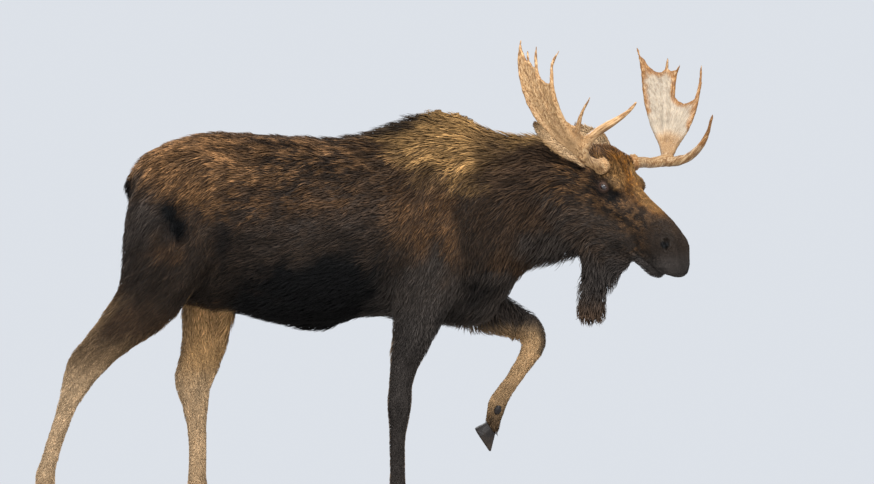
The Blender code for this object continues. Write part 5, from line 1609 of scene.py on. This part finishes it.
class MOOSE_OT_eyes(bpy.types.Operator):
    """Make the eyes and their lashes"""

    bl_idname = "moose.eyes"
    bl_label = "Eyes"

    def execute(self, context):
        settings = context.scene.moose_eyes
        gloss, lash = eye_material(), lash_material()
        tree = lash_tree(lash)
        for sign, side in ((-1, "right"), (1, "left")):
            mesh = eye_mesh(f"eyeball_{side}", sign, settings.iris)
            add_piece(f"eyeball_{side}", mesh, gloss, "eye", (f"eye_{side}",))
            lashes = grown(tree, {"Length": settings.lash_length}, lid_points(sign))
            add_piece(f"lashes_{side}", lashes, None, "coat_black")
        return {"FINISHED"}


class MOOSE_OT_hooves(bpy.types.Operator):
    """Make the claws and dewclaws of every foot"""

    bl_idname = "moose.hooves"
    bl_label = "Hooves"

    def execute(self, context):
        horn = hoof_material()
        for foot in FEET:
            add_piece(f"hooves_{foot}", hoof_mesh(foot), horn, "hoof", hoof_nodes(foot))
        return {"FINISHED"}


class MOOSE_OT_stand(bpy.types.Operator):
    """Paint the display base"""

    bl_idname = "moose.stand"
    bl_label = "Base"

    def execute(self, context):
        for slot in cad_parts["stand_base"].material_slots:
            slot.material = stand_material(tuple(context.scene.moose_stage.paint))
        return {"FINISHED"}


class MOOSE_OT_stage(bpy.types.Operator):
    """Set up floor, lights and camera"""

    bl_idname = "moose.stage"
    bl_label = "Stage"

    def execute(self, context):
        scene = context.scene
        settings = scene.moose_stage
        mesh = made("floor", bmesh.ops.create_circle, cap_ends=True, segments=96, radius=FLOOR_RADIUS)
        mesh.materials.append(floor_material())
        floor = bpy.data.objects.new("floor", mesh)
        scene.collection.objects.link(floor)
        floor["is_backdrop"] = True
        world = bpy.data.worlds.new("studio")
        world.use_nodes = True
        sky = world.node_tree.nodes["Background"].inputs
        sky["Color"].default_value = (*settings.sky, 1)
        sky["Strength"].default_value = SKY_POWER
        scene.world = world
        scene.view_settings.view_transform = "Standard"
        for name, at, size, share in LIGHTS:
            lamp = bpy.data.lights.new(name, "AREA")
            lamp.size = size
            lamp.energy = settings.key_power * share
            light = bpy.data.objects.new(name, lamp)
            scene.collection.objects.link(light)
            aim(light, at, LIGHTS_AIM)
        lens = bpy.data.cameras.new("camera")
        lens.lens = LENS
        lens.sensor_width = SENSOR_WIDTH
        lens.clip_end = FARTHEST
        camera = bpy.data.objects.new("camera", lens)
        scene.collection.objects.link(camera)
        aim(camera, CAMERA_AT, CAMERA_AIM)
        scene.camera = camera
        return {"FINISHED"}


OPERATORS = (
    MOOSE_OT_skin,
    MOOSE_OT_coat,
    MOOSE_OT_antlers,
    MOOSE_OT_eyes,
    MOOSE_OT_hooves,
    MOOSE_OT_stand,
    MOOSE_OT_stage,
)
SETTINGS = (
    ("moose_coat", CoatSettings),
    ("moose_antlers", AntlerSettings),
    ("moose_eyes", EyeSettings),
    ("moose_stage", StageSettings),
)


class MOOSE_PT_panel(bpy.types.Panel):
    """Sizes, colours and steps of the moose"""

    bl_idname = "MOOSE_PT_panel"
    bl_label = "Moose"
    bl_space_type = "VIEW_3D"
    bl_region_type = "UI"
    bl_category = "Moose"

    def draw(self, context):
        for name, group in SETTINGS:
            for label in group.__annotations__:
                self.layout.prop(getattr(context.scene, name), label)
        for operator in OPERATORS:
            self.layout.operator(operator.bl_idname)


def register():
    for name, group in SETTINGS:
        bpy.utils.register_class(group)
        setattr(bpy.types.Scene, name, bpy.props.PointerProperty(type=group))
    for kind in (*OPERATORS, MOOSE_PT_panel):
        bpy.utils.register_class(kind)


def unregister():
    for kind in (MOOSE_PT_panel, *reversed(OPERATORS)):
        bpy.utils.unregister_class(kind)
    for name, group in reversed(SETTINGS):
        delattr(bpy.types.Scene, name)
        bpy.utils.unregister_class(group)


def main():
    register()
    bpy.ops.moose.skin()
    bpy.ops.moose.coat()
    bpy.ops.moose.antlers()
    bpy.ops.moose.eyes()
    bpy.ops.moose.hooves()
    bpy.ops.moose.stand()
    bpy.ops.moose.stage()
    bpy.context.view_layer.update()
    [[list(corner) for corner in box] for box in (CAD_BOX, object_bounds())]


if __name__ == "__main__":
    main()
